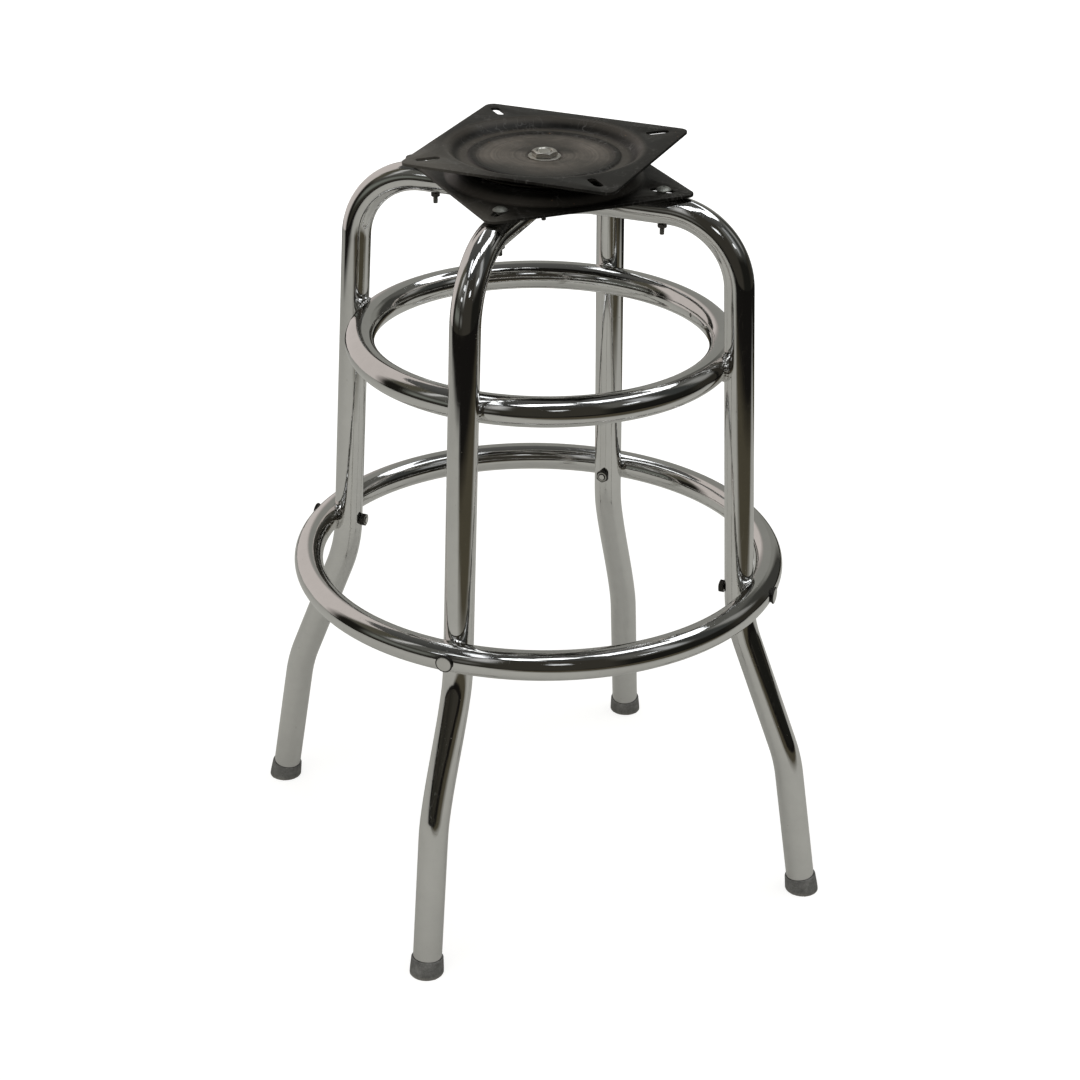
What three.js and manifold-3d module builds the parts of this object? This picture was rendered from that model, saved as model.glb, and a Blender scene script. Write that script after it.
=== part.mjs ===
// Double-ring swivel stool base. Two bent tube frames cross at the top and stand on four legs.
// A ring is welded inside the legs, a foot ring is bolted outside them, and a ball-bearing swivel
// of two pressed plates sits on the crossing, ready for a seat.
// Millimetres, +Z up. The origin is on the floor under the crossing, and the front is -Y.

import * as THREE from 'three';
import { mergeVertices, toCreasedNormals } from 'three/addons/utils/BufferGeometryUtils.js';
import Module from 'manifold-3d';

const wasm = await Module();
wasm.setup();

// Gaps and cuts
const clearance = 0.3;
const cutOverrun = 3;

// Tube stock, the same for both frames and both rings
const tubeDiameter = 25.4;
const tubeWall = 1.6;
const tubeRadius = tubeDiameter / 2;

// Frames. A reach is a distance from the upright centre line of the stool
const topRunHeight = 636;
const topBendRadius = 63.5;
const legBendRadius = 150;
const shoulderReach = 171;
const kneeReach = 189.8;
const kneeHeight = 269;
const ankleHeight = 135;
const sideAnkleReach = 242.4;
const sideFootReach = 264;
const endAnkleReach = 227.4;
const endFootReach = 245;
const endFootToe = 7.2;

// Crossing, where one frame is pressed flat under the other
const flatHalfLength = 20;
const flatTaper = 24;
const flatWidth = 33;
const flatSag = 1.9;
const flatHeight = (tubeDiameter + flatSag - clearance) / 2;

// Rings. A seat depth is how deep a ring's tube is pressed in where it lies against a leg
const upperRingDrop = 132;
const upperRingSeatDepth = 4.96;
const footRingHeight = 297;
const footRingSeatDepth = 7.2;
const ventDiameter = 4;

// Welds between the upper ring and the legs. The reach is how far a bead runs past the seat
const weldThroat = 2.6;
const weldReach = 1.4;

// Foot ring bolts and nuts
const ringBoltDiameter = 6.35;
const ringBoltHeadDiameter = 14.3;
const ringBoltHeadHeight = 3;
const ringBoltHeadSkirt = 2;
const ringBoltTipRecess = 0.6;
const ringNutFlats = 11.1;
const ringNutHeight = 5.6;
const ringNutChamfer = 0.8;

// Leg tips
const tipHeight = 15;
const tipFloor = 3;
const tipTopDiameter = 28.2;
const tipBaseDiameter = 30;

// Swivel plates, two like pressings face to face
const plateSide = 186;
const flangeShift = 2.5;
const plateCornerRadius = 8;
const plateThickness = 2.5;
const swivelHeight = 28;
const dishDepth = 8.4;
const dishRimRadius = 82;
const dishFloorRadius = 73.5;
const hubRecessRadius = 16.5;
const hubRecessDepth = 2;
const hubRecessSlope = 2;
const slotReach = 103.8;
const slotLength = 21;
const slotWidth = 7.5;
const upperPlateTurn = THREE.MathUtils.degToRad(-1.4);

// Ball bearing between the plates
const raceRadius = 61;
const ballDiameter = 7.94;
const ballCount = 12;
const ballGap = 0.3;
const grooveFloorHalfWidth = 1.9;
const grooveHalfWidth = 3.4;
const cageThickness = 1.2;
const cageWidth = 14;
const cageHoleGap = 0.4;

// Pivot bolt, its nut and washer, and the thrust washer between the plates
const pivotDiameter = 12.7;
const pivotHeadDiameter = 21;
const pivotHeadHeight = 3;
const pivotTipRecess = 0.5;
const pivotNutFlats = 19;
const pivotNutHeight = 4.2;
const pivotNutChamfer = 1.1;
const pivotNutTurn = THREE.MathUtils.degToRad(12);
const pivotWasherDiameter = 27.6;
const pivotWasherThickness = 1.5;
const thrustWasherDiameter = 22;

// Plate screws and nuts. What a shank shows is its length past its nut
const plateScrewDiameter = 4.8;
const plateScrewShow = 3;
const screwHeadDiameter = 12.7;
const screwHeadHeight = 3.2;
const screwHeadEdge = 0.8;
const driveDiameter = 3.4;
const driveDepth = 1.6;
const plateNutFlats = 8;
const plateNutHeight = 4;
const screwReaches = { right: 105, back: 102, left: 99, front: 100 };

// Bolt through the crossing
const crossBoltShow = 5.4;
const crossBoltHeadFlats = 9.5;
const crossBoltHeadHeight = 3;

// Facets round a circle, by the size of what is round
const tubeSides = 12;
const boreSides = 6;
const holeSides = 8;
const ringSteps = 40;
const dishSteps = 32;
const smallSides = 12;
const topBendSteps = 7;
const legBendSteps = 4;
const taperSteps = 3;
const creaseAngle = 0.6;
const domeShares = [0, 1 / 3, 2 / 3];

// Heights that follow from the sizes above
const tubeTopHeight = topRunHeight + tubeRadius;
const tubeUnderHeight = topRunHeight - tubeRadius;
const upperRingHeight = topRunHeight - upperRingDrop;
const lowerPlateUnder = tubeTopHeight + clearance;
const upperPlateTop = lowerPlateUnder + swivelHeight;
const discGap = swivelHeight - 2 * (dishDepth + plateThickness);
const bearingHeight = lowerPlateUnder + swivelHeight / 2;
const grooveDepth = ballDiameter / 2 + ballGap - discGap / 2;

// The same four places go round the stool, a quarter turn apart
const quarterTurn = Math.PI / 2;
const legs = [
  { name: 'right', turn: 0, side: true },
  { name: 'back', turn: quarterTurn, side: false },
  { name: 'left', turn: 2 * quarterTurn, side: true },
  { name: 'front', turn: 3 * quarterTurn, side: false },
];

// Finishes
const chrome = { color: 0xc9c6c2, roughness: 0.1, metalness: 1 };
const blackSteel = { color: 0x35302c, roughness: 0.5, metalness: 0.6 };
const zincSteel = { color: 0xa7a49b, roughness: 0.4, metalness: 0.9 };
const brightSteel = { color: 0xb8b8b8, roughness: 0.2, metalness: 1 };
const darkSteel = { color: 0x4a4744, roughness: 0.5, metalness: 0.8 };
const greyPlastic = { color: 0x6b6863, roughness: 0.8, metalness: 0 };

const stool = new THREE.Group();

// A closed geometry as a solid that can be joined and cut
function solidOf(geometry) {
  const bare = geometry.clone();
  bare.deleteAttribute('normal');
  bare.deleteAttribute('uv');
  const welded = mergeVertices(bare);
  const corners = welded.index.array;
  const triangles = [];
  for (let i = 0; i < corners.length; i += 3) {
    const [a, b, c] = [corners[i], corners[i + 1], corners[i + 2]];
    if (a !== b && b !== c && c !== a) triangles.push(a, b, c);
  }
  return new wasm.Manifold(new wasm.Mesh({
    numProp: 3,
    vertProperties: new Float32Array(welded.attributes.position.array),
    triVerts: new Uint32Array(triangles),
  }));
}

// A solid back as a geometry
function geometryOf(solid) {
  const mesh = solid.getMesh();
  const geometry = new THREE.BufferGeometry();
  geometry.setAttribute('position', new THREE.BufferAttribute(new Float32Array(mesh.vertProperties), 3));
  geometry.setIndex(new THREE.BufferAttribute(new Uint32Array(mesh.triVerts), 1));
  geometry.computeVertexNormals();
  return geometry;
}

// One named piece of the stool, turned about the upright centre line and raised
function addPiece(name, solid, finish, turn = 0, height = 0) {
  const shape = toCreasedNormals(geometryOf(solid), creaseAngle);
  const mesh = new THREE.Mesh(shape, new THREE.MeshStandardMaterial(finish));
  mesh.name = name;
  mesh.rotation.z = turn;
  mesh.position.z = height;
  stool.add(mesh);
}

// A solid of revolution about Z from pairs of radius and height, listed upwards outside
function lathe(profile, segments = smallSides) {
  const points = profile.map(([radius, height]) => new THREE.Vector2(radius, height));
  return solidOf(new THREE.LatheGeometry(points, segments).rotateX(quarterTurn));
}

// A round rod about Z between two heights
function rod(radius, low, high, segments = smallSides) {
  return lathe([[0, low], [radius, low], [radius, high], [0, high]], segments);
}

// A hexagonal prism about Z between two heights, its upper corners taken off by a chamfer
function hexagon(acrossFlats, low, high, chamfer = 0) {
  const corner = acrossFlats / Math.sqrt(3);
  const prism = rod(corner, low, high, 6);
  if (chamfer === 0) return prism;
  const top = acrossFlats / 2;
  const fall = chamfer + (corner - top) / 2;
  return prism.intersect(lathe([[0, low - fall], [corner + fall, low - fall],
    [corner + fall, high - fall - chamfer], [top - chamfer / 2, high], [0, high]], 2 * smallSides));
}

// A hexagon nut with its bore, its chamfered face upwards
function hexNut(acrossFlats, low, high, boreDiameter, chamfer = 0) {
  const bore = rod(boreDiameter / 2 + clearance, low - cutOverrun, high + cutOverrun);
  return hexagon(acrossFlats, low, high, chamfer).subtract(bore);
}

// A geometry's Z axis laid along +X, the way out to a leg
function outward(solid) {
  return solidOf(geometryOf(solid).rotateY(quarterTurn));
}

function moved(solid, x, y, z) {
  return solidOf(geometryOf(solid).translate(x, y, z));
}

function turned(solid, angle) {
  return solidOf(geometryOf(solid).rotateZ(angle));
}

// A route through given stations, so that steps lie only where the shape needs them
class StationRoute extends THREE.Curve {
  constructor(stations) {
    super();
    this.stations = stations;
  }

  getUtoTmapping(u) {
    return u;
  }

  getPoint(t, target = new THREE.Vector3()) {
    const last = this.stations.length - 2;
    const place = t * (last + 1);
    const index = Math.min(Math.max(Math.floor(place), 0), last);
    return target.lerpVectors(this.stations[index], this.stations[index + 1], place - index);
  }
}

// The points of an arc that rounds the corner between two straight runs
function bendPoints(before, corner, after, radius, steps) {
  const back = before.clone().sub(corner).normalize();
  const ahead = after.clone().sub(corner).normalize();
  const halfAngle = Math.acos(back.dot(ahead)) / 2;
  const middle = back.clone().add(ahead).normalize();
  const centre = corner.clone().addScaledVector(middle, radius / Math.sin(halfAngle));
  const start = corner.clone().addScaledVector(back, radius / Math.tan(halfAngle));
  const turn = -Math.sign(back.cross(ahead)) * (Math.PI - 2 * halfAngle);
  const points = [];
  for (let i = 0; i <= steps; i++) {
    points.push(start.clone().rotateAround(centre, turn * i / steps));
  }
  return points;
}

// The lower end of a leg: where it meets the floor, how it leans, and where its tube stops
function footOf(side) {
  const reach = side ? sideFootReach : endFootReach;
  const ankleReach = side ? sideAnkleReach : endAnkleReach;
  const toe = side ? 0 : endFootToe;
  const lean = Math.atan2(reach - ankleReach, ankleHeight);
  return { reach, ankleReach, toe, lean };
}

// Half of a frame's centre line, from the crossing to the tube's end, as reach and height
function halfRoute(side, endLift) {
  const foot = footOf(side);
  const crossing = new THREE.Vector2(0, topRunHeight);
  const shoulder = new THREE.Vector2(shoulderReach, topRunHeight);
  const knee = new THREE.Vector2(kneeReach, kneeHeight);
  const ankle = new THREE.Vector2(foot.ankleReach, ankleHeight);
  const floor = new THREE.Vector2(foot.reach, 0);
  const end = floor.clone().add(new THREE.Vector2(-Math.sin(foot.lean), Math.cos(foot.lean))
    .multiplyScalar(endLift));
  const points = [];
  for (let i = 0; i <= taperSteps; i++) {
    points.push(new THREE.Vector2(flatHalfLength + flatTaper * i / taperSteps, topRunHeight));
  }
  points.push(...bendPoints(crossing, shoulder, knee, topBendRadius, topBendSteps));
  points.push(...bendPoints(shoulder, knee, ankle, legBendRadius, legBendSteps));
  points.push(...bendPoints(knee, ankle, floor, legBendRadius, legBendSteps));
  points.push(end);
  return points;
}

// Where a leg's centre line is at the given height: its reach, and how it leans out going down
function legAt(side, height) {
  const route = halfRoute(side, 0);
  const below = route.findIndex((point) => point.y < height);
  const [upper, lower] = [route[below - 1], route[below]];
  const share = (upper.y - height) / (upper.y - lower.y);
  return {
    reach: upper.x + (lower.x - upper.x) * share,
    lean: Math.atan2(lower.x - upper.x, upper.y - lower.y),
  };
}

// The radius of a ring whose tube lies outside the legs, or inside them, pressed in to its seat
function ringRadiusAt(height, seatDepth, outside) {
  const { reach, lean } = legAt(true, height);
  const standoff = (tubeDiameter - seatDepth) / Math.cos(lean);
  return outside ? reach + standoff : reach - standoff;
}

const upperRingRadius = ringRadiusAt(upperRingHeight, upperRingSeatDepth, false);
const footRingRadius = ringRadiusAt(footRingHeight, footRingSeatDepth, true);

// A whole frame's centre line in the XZ plane, its feet set a little to either side of it
function frameRoute(side, endLift) {
  const toe = footOf(side).toe;
  const half = halfRoute(side, endLift);
  const station = (point, way) => {
    const drop = THREE.MathUtils.smoothstep(kneeHeight - point.y, 0, kneeHeight - ankleHeight);
    return new THREE.Vector3(way * point.x, -way * toe * drop, point.y);
  };
  const left = half.map((point) => station(point, -1)).reverse();
  const right = half.map((point) => station(point, 1));
  return [...left, new THREE.Vector3(0, 0, topRunHeight), ...right];
}

// A round bar swept along a frame, pressed flat where the frames cross
function frameBar(side, radius, sides, endLift) {
  const stations = frameRoute(side, endLift);
  const circle = new THREE.Shape().absarc(0, 0, radius, 0, 4 * quarterTurn);
  const bar = new THREE.ExtrudeGeometry(circle, {
    steps: stations.length - 1,
    curveSegments: sides / 2,
    bevelEnabled: false,
    extrudePath: new StationRoute(stations),
  });
  pressFlat(bar, side);
  return solidOf(bar);
}

// The left-right frame is pressed towards its underside and sags, the other towards its top
function pressFlat(bar, side) {
  const places = bar.attributes.position;
  for (let i = 0; i < places.count; i++) {
    const along = Math.abs(places.getX(i));
    const height = places.getZ(i);
    if (height < tubeUnderHeight - cutOverrun) continue;
    const press = 1 - THREE.MathUtils.smoothstep(along, flatHalfLength, flatHalfLength + flatTaper);
    const squeeze = 1 - press * (1 - flatHeight / tubeDiameter);
    const spread = 1 + press * (flatWidth / tubeDiameter - 1);
    const fromUnder = tubeUnderHeight - press * flatSag + (height - tubeUnderHeight) * squeeze;
    const fromTop = tubeTopHeight - (tubeTopHeight - height) * squeeze;
    places.setY(i, places.getY(i) * spread);
    places.setZ(i, side ? fromUnder : fromTop);
  }
}

// A drill right through a tube for a bolt of the given diameter
function drill(diameter) {
  return rod(diameter / 2 + clearance, -tubeDiameter, tubeDiameter, holeSides);
}

// One frame: a bent tube, drilled for the ring bolts, the plate screws and the crossing bolt
function bentFrame(side) {
  let frame = frameBar(side, tubeRadius, tubeSides, tipFloor);
  frame = frame.subtract(frameBar(side, tubeRadius - tubeWall, boreSides, -cutOverrun));
  const ringBoltHole = drill(ringBoltDiameter);
  const screwHole = drill(plateScrewDiameter);
  frame = frame.subtract(moved(screwHole, 0, 0, topRunHeight));
  for (const leg of legs.filter((one) => one.side === side)) {
    const way = leg.turn < Math.PI ? 1 : -1;
    frame = frame.subtract(moved(screwHole, way * screwReaches[leg.name], 0, topRunHeight));
    frame = frame.subtract(moved(outward(ringBoltHole), way * legAt(side, footRingHeight).reach, 0, footRingHeight));
  }
  return frame;
}

addPiece('frame_left_right', bentFrame(true), chrome);
addPiece('frame_front_back', bentFrame(false), chrome, quarterTurn);

// Both frames as solid bars a little fatter than their tubes, to cut what lies against them
function fatFrames(growth) {
  const sideBar = frameBar(true, tubeRadius + growth, tubeSides, tipFloor);
  const endBar = frameBar(false, tubeRadius + growth, tubeSides, tipFloor);
  return [sideBar, turned(endBar, quarterTurn)];
}

const seatedCutters = fatFrames(clearance);
const seatedWallCutters = fatFrames(clearance + tubeWall);

function withoutAll(solid, cutters) {
  return cutters.reduce((left, cutter) => left.subtract(cutter), solid);
}

// A ring of tube at the given height, with a pressed seat where it lies against each leg
function seatedRing(radius, height) {
  const torus = (thickness, sides) =>
    moved(solidOf(new THREE.TorusGeometry(radius, thickness, sides, ringSteps)), 0, 0, height);
  const body = withoutAll(torus(tubeRadius, tubeSides), seatedCutters);
  const hollow = withoutAll(torus(tubeRadius - tubeWall, boreSides), seatedWallCutters);
  return body.subtract(hollow);
}

// Upper ring, inside the legs, with the small vent that a closed tube needs for plating
function upperRing() {
  const vent = moved(outward(rod(ventDiameter / 2, -tubeDiameter, 0, holeSides)), upperRingRadius, 0, upperRingHeight);
  return seatedRing(upperRingRadius, upperRingHeight).subtract(turned(vent, quarterTurn / 2));
}

addPiece('upper_ring', upperRing(), chrome);

// Foot ring, outside the legs, drilled for its four bolts
function footRing() {
  const hole = moved(outward(drill(ringBoltDiameter)), footRingRadius, 0, footRingHeight);
  const holes = legs.map((leg) => turned(hole, leg.turn));
  return withoutAll(seatedRing(footRingRadius, footRingHeight), holes);
}

addPiece('foot_ring', footRing(), chrome);

// A weld bead that fills the groove round the seat of the upper ring on one leg
function ringWeld() {
  const seated = tubeRadius + clearance;
  const seatHalf = Math.sqrt(seated ** 2 - (seated - upperRingSeatDepth) ** 2);
  const ringAt = (thickness) => moved(
    solidOf(new THREE.TorusGeometry(upperRingRadius, thickness, tubeSides, ringSteps)),
    0, 0, upperRingHeight);
  const around = outward(rod(seatHalf + weldReach, 0, 2 * upperRingRadius));
  const bead = fatFrames(weldThroat)[0].intersect(ringAt(tubeRadius + weldThroat));
  return bead.intersect(moved(around, 0, 0, upperRingHeight))
    .subtract(ringAt(tubeRadius + clearance)).subtract(seatedCutters[0]);
}

for (const leg of legs) {
  addPiece(`ring_weld_${leg.name}`, ringWeld(), chrome, leg.turn);
}

// Foot ring bolts: a low domed head seated on the ring and a shank through the ring and the leg
const ringBoltSeat = footRingRadius + tubeRadius + clearance;

// The seat of a ring nut clears the leg at every corner
function ringNutSeat(side) {
  const { reach, lean } = legAt(side, footRingHeight);
  return reach - (tubeRadius + clearance) / Math.cos(lean) - Math.tan(lean) * ringNutFlats / Math.sqrt(3);
}

function ringBolt(side) {
  const shank = ringBoltDiameter / 2;
  const head = ringBoltHeadDiameter / 2;
  const skirt = -ringBoltHeadSkirt;
  const tip = ringNutSeat(side) - ringNutHeight + ringBoltTipRecess - ringBoltSeat;
  const dome = domeShares.map((share) =>
    [head * Math.cos(share * quarterTurn), ringBoltHeadHeight * Math.sin(share * quarterTurn)]);
  const cap = lathe([[0, skirt], [head, skirt], ...dome, [0, ringBoltHeadHeight]]);
  const ring = moved(
    solidOf(new THREE.TorusGeometry(footRingRadius, tubeRadius + clearance, tubeSides, ringSteps)),
    0, 0, footRingHeight);
  const seated = moved(outward(cap), ringBoltSeat, 0, footRingHeight).subtract(ring);
  const rest = ringBoltHeadHeight / 2;
  return seated.add(moved(outward(rod(shank, tip, rest)), ringBoltSeat, 0, footRingHeight));
}

// Nuts on the inner ends of the foot ring bolts, their chamfered faces inwards
function ringNut(side) {
  const nut = hexNut(ringNutFlats, 0, ringNutHeight, ringBoltDiameter, ringNutChamfer);
  return moved(turned(outward(nut), 2 * quarterTurn), ringNutSeat(side), 0, footRingHeight);
}

for (const leg of legs) {
  addPiece(`ring_bolt_${leg.name}`, ringBolt(leg.side), chrome, leg.turn);
  addPiece(`ring_nut_${leg.name}`, ringNut(leg.side), brightSteel, leg.turn);
}

// Leg tips: tapered cups pushed over the tube's end and worn flat on the floor
function legTip(side) {
  const foot = footOf(side);
  const base = tipBaseDiameter / 2;
  const cup = lathe([[0, -tipHeight], [base, -tipHeight], [base, 0], [tipTopDiameter / 2, tipHeight],
    [0, tipHeight]], tubeSides);
  const bore = rod(tubeRadius + clearance, tipFloor - clearance, tipHeight + cutOverrun, tubeSides);
  const cutCup = geometryOf(cup.subtract(bore));
  cutCup.rotateY(-foot.lean);
  cutCup.translate(foot.reach, -foot.toe, 0);
  const below = new THREE.BoxGeometry(2 * tipBaseDiameter, 2 * tipBaseDiameter, 2 * tipHeight);
  below.translate(foot.reach, -foot.toe, -tipHeight);
  return solidOf(cutCup).subtract(solidOf(below));
}

for (const leg of legs) {
  addPiece(`leg_tip_${leg.name}`, legTip(leg.side), greyPlastic, leg.turn);
}

// A rounded square, centred on the axis
function squareOutline(side, radius) {
  const flat = side / 2 - radius;
  const outline = new THREE.Shape();
  outline.absarc(flat, flat, radius, 0, quarterTurn);
  outline.absarc(-flat, flat, radius, quarterTurn, 2 * quarterTurn);
  outline.absarc(-flat, -flat, radius, 2 * quarterTurn, 3 * quarterTurn);
  outline.absarc(flat, -flat, radius, 3 * quarterTurn, 4 * quarterTurn);
  return outline;
}

// A slot with round ends, lying along X
function slotOutline(length, width) {
  const half = (length - width) / 2;
  const outline = new THREE.Shape();
  outline.absarc(half, 0, width / 2, -quarterTurn, quarterTurn);
  outline.absarc(-half, 0, width / 2, quarterTurn, 3 * quarterTurn);
  return outline;
}

// The outer face of a pressing from its hub out to its dish rim, as radius and depth below the flange
function dishFace(drop) {
  const hubFloor = dishDepth + hubRecessDepth;
  const raised = dishDepth - grooveDepth;
  return [
    [0, -hubFloor - drop],
    [hubRecessRadius - hubRecessSlope, -hubFloor - drop],
    [hubRecessRadius, -dishDepth - drop],
    [raceRadius - grooveHalfWidth, -dishDepth - drop],
    [raceRadius - grooveFloorHalfWidth, -raised - drop],
    [raceRadius + grooveFloorHalfWidth, -raised - drop],
    [raceRadius + grooveHalfWidth, -dishDepth - drop],
    [dishFloorRadius, -dishDepth - drop],
    [dishRimRadius, -drop],
  ];
}

// One pressed plate with its flange's outer face at zero and its dish below, a little off the middle
function pressing() {
  const blankDepth = dishDepth + hubRecessDepth + plateThickness;
  const blank = solidOf(new THREE.ExtrudeGeometry(squareOutline(plateSide, plateCornerRadius),
    { depth: blankDepth, curveSegments: 4, bevelEnabled: false }).translate(flangeShift, 0, -blankDepth));
  const above = lathe([...dishFace(0), [dishRimRadius, cutOverrun], [0, cutOverrun]], dishSteps);
  const deep = -blankDepth - cutOverrun;
  const below = lathe([[0, deep], [plateSide, deep], [plateSide, -plateThickness],
    ...dishFace(plateThickness).reverse()], dishSteps);
  const slot = new THREE.ExtrudeGeometry(slotOutline(slotLength, slotWidth),
    { depth: plateThickness + 2 * cutOverrun, curveSegments: 5, bevelEnabled: false });
  slot.translate(slotReach, 0, -plateThickness - cutOverrun);
  const hub = rod(pivotDiameter / 2 + clearance, deep, cutOverrun, 2 * smallSides);
  const cuts = [above, below, hub];
  for (const leg of legs) {
    cuts.push(turned(solidOf(slot), leg.turn + quarterTurn / 2));
  }
  return withoutAll(blank, cuts);
}

// The lower plate lies with its corners over the legs, and the upper one turned from it
const platePressing = pressing();
const lowerPressing = solidOf(geometryOf(platePressing).rotateX(2 * quarterTurn));
addPiece('lower_plate', lowerPressing, blackSteel, quarterTurn / 2, lowerPlateUnder);
addPiece('upper_plate', platePressing, blackSteel, upperPlateTurn, upperPlateTop);

// Ball cage, a flat ring with a hole for each ball
function ballPlaces() {
  const places = [];
  for (let i = 0; i < ballCount; i++) {
    const angle = 4 * quarterTurn * i / ballCount;
    places.push([raceRadius * Math.cos(angle), raceRadius * Math.sin(angle)]);
  }
  return places;
}

function ballCage() {
  const inner = raceRadius - cageWidth / 2;
  const outer = raceRadius + cageWidth / 2;
  const low = -cageThickness / 2;
  const ring = rod(outer, low, -low, dishSteps).subtract(rod(inner, low - cutOverrun, cutOverrun, dishSteps));
  const hole = rod(ballDiameter / 2 + cageHoleGap, low - cutOverrun, cutOverrun, holeSides);
  return withoutAll(ring, ballPlaces().map(([x, y]) => moved(hole, x, y, 0)));
}

addPiece('ball_cage', ballCage(), brightSteel, 0, bearingHeight);

const ball = solidOf(new THREE.IcosahedronGeometry(ballDiameter / 2, 1));
ballPlaces().forEach(([x, y], i) => {
  addPiece(`bearing_ball_${i + 1}`, moved(ball, x, y, 0), brightSteel, 0, bearingHeight);
});

// Pivot bolt, its round head under the lower plate and its nut and washer on the upper one
const hubTop = upperPlateTop - dishDepth - hubRecessDepth;
const hubUnder = lowerPlateUnder + dishDepth + hubRecessDepth;
const washerTop = hubTop + clearance + pivotWasherThickness;
const pivotNutSeat = washerTop + clearance;
const pivotNutTop = pivotNutSeat + pivotNutHeight;

function pivotBolt() {
  const headTop = hubUnder - clearance;
  const head = rod(pivotHeadDiameter / 2, headTop - pivotHeadHeight, headTop, 2 * smallSides);
  const shank = rod(pivotDiameter / 2, headTop - pivotHeadHeight / 2, pivotNutTop - pivotTipRecess);
  return head.add(shank);
}

function flatRing(outerDiameter, low, high) {
  const bore = rod(pivotDiameter / 2 + clearance, low - cutOverrun, high + cutOverrun);
  return rod(outerDiameter / 2, low, high, 2 * smallSides).subtract(bore);
}

const pivotNut = hexNut(pivotNutFlats, pivotNutSeat, pivotNutTop, pivotDiameter, pivotNutChamfer);
const thrustLow = hubUnder + plateThickness + clearance;
const thrustHigh = hubTop - plateThickness - clearance;
addPiece('pivot_bolt', pivotBolt(), zincSteel);
addPiece('pivot_nut', pivotNut, zincSteel, pivotNutTurn);
addPiece('pivot_washer', flatRing(pivotWasherDiameter, hubTop + clearance, washerTop), zincSteel);
addPiece('thrust_washer', flatRing(thrustWasherDiameter, thrustLow, thrustHigh), darkSteel);

// Plate screws: a truss head on the lower plate, down through its slot and the frame tube
const screwSeat = lowerPlateUnder + plateThickness + clearance;
const plateNutTop = tubeUnderHeight - clearance;
const plateScrewTip = plateNutTop - plateNutHeight - plateScrewShow;

function plateScrew(reach) {
  const shank = plateScrewDiameter / 2;
  const head = screwHeadDiameter / 2;
  const crown = screwHeadHeight - screwHeadEdge;
  const profile = [[0, plateScrewTip], [shank, plateScrewTip], [shank, screwSeat], [head, screwSeat]];
  for (const share of domeShares) {
    const lift = crown * Math.sin(share * quarterTurn);
    profile.push([head * Math.cos(share * quarterTurn), screwSeat + screwHeadEdge + lift]);
  }
  profile.push([0, screwSeat + screwHeadHeight]);
  const top = screwSeat + screwHeadHeight;
  const drive = rod(driveDiameter / 2, top - driveDepth, top + cutOverrun, 4);
  return moved(lathe(profile).subtract(drive), reach, 0, 0);
}

for (const leg of legs) {
  const reach = screwReaches[leg.name];
  addPiece(`plate_screw_${leg.name}`, plateScrew(reach), brightSteel, leg.turn);
  const nut = hexNut(plateNutFlats, plateNutTop - plateNutHeight, plateNutTop, plateScrewDiameter);
  addPiece(`plate_nut_${leg.name}`, moved(nut, reach, 0, 0), darkSteel, leg.turn);
}

// Bolt and nut that hold the two frames together at the crossing
const crossNutTop = plateNutTop - flatSag;

function crossBolt() {
  const seat = tubeTopHeight + clearance;
  const tip = crossNutTop - plateNutHeight - crossBoltShow;
  const shank = rod(plateScrewDiameter / 2, tip, seat + clearance);
  return hexagon(crossBoltHeadFlats, seat, seat + crossBoltHeadHeight).add(shank);
}

addPiece('cross_bolt', crossBolt(), darkSteel);
addPiece('cross_nut', hexNut(plateNutFlats, crossNutTop - plateNutHeight, crossNutTop, plateScrewDiameter), darkSteel);

export default stool;
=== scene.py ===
import math

import bmesh
import bpy
from mathutils import Matrix, Vector


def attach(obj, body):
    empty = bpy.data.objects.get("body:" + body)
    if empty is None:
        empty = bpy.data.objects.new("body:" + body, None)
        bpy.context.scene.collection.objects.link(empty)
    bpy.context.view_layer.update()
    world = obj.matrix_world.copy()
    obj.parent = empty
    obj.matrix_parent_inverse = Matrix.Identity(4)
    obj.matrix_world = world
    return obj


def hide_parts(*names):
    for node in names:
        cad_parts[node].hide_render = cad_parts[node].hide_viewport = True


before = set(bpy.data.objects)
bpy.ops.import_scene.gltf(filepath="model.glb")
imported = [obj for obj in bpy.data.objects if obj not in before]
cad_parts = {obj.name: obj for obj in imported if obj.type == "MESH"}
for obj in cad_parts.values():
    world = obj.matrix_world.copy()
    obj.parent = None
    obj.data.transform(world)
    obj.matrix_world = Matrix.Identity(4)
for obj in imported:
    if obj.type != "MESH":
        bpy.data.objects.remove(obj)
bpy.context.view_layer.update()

# Camera. It stands a little to the right of the front leg and looks down on the swivel plate.
# Its place was solved from the outlines of the legs, rings and plates. Metres and radians.
camera_turn = math.radians(20.41)
camera_tilt = math.radians(26.78)
camera_roll = 0.0152
camera_distance = 2.18376
camera_aim = (0.00117, 0, 0.30917)
camera_lens, camera_film_width = 80.85, 36
camera_sight = 60


def add_object(name, data):
    added = bpy.data.objects.new(name, data)
    bpy.context.scene.collection.objects.link(added)
    return added


camera_data = bpy.data.cameras.new("camera")
camera_data.lens = camera_lens
camera_data.sensor_width = camera_film_width
camera_data.clip_end = camera_sight
camera = add_object("camera", camera_data)
camera.matrix_world = (
    Matrix.Translation(camera_aim) @ Matrix.Rotation(camera_turn, 4, "Z")
    @ Matrix.Rotation(math.pi / 2 - camera_tilt, 4, "X") @ Matrix.Rotation(camera_roll, 4, "Z")
    @ Matrix.Translation((0, 0, camera_distance)))
bpy.context.scene.camera = camera

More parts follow.
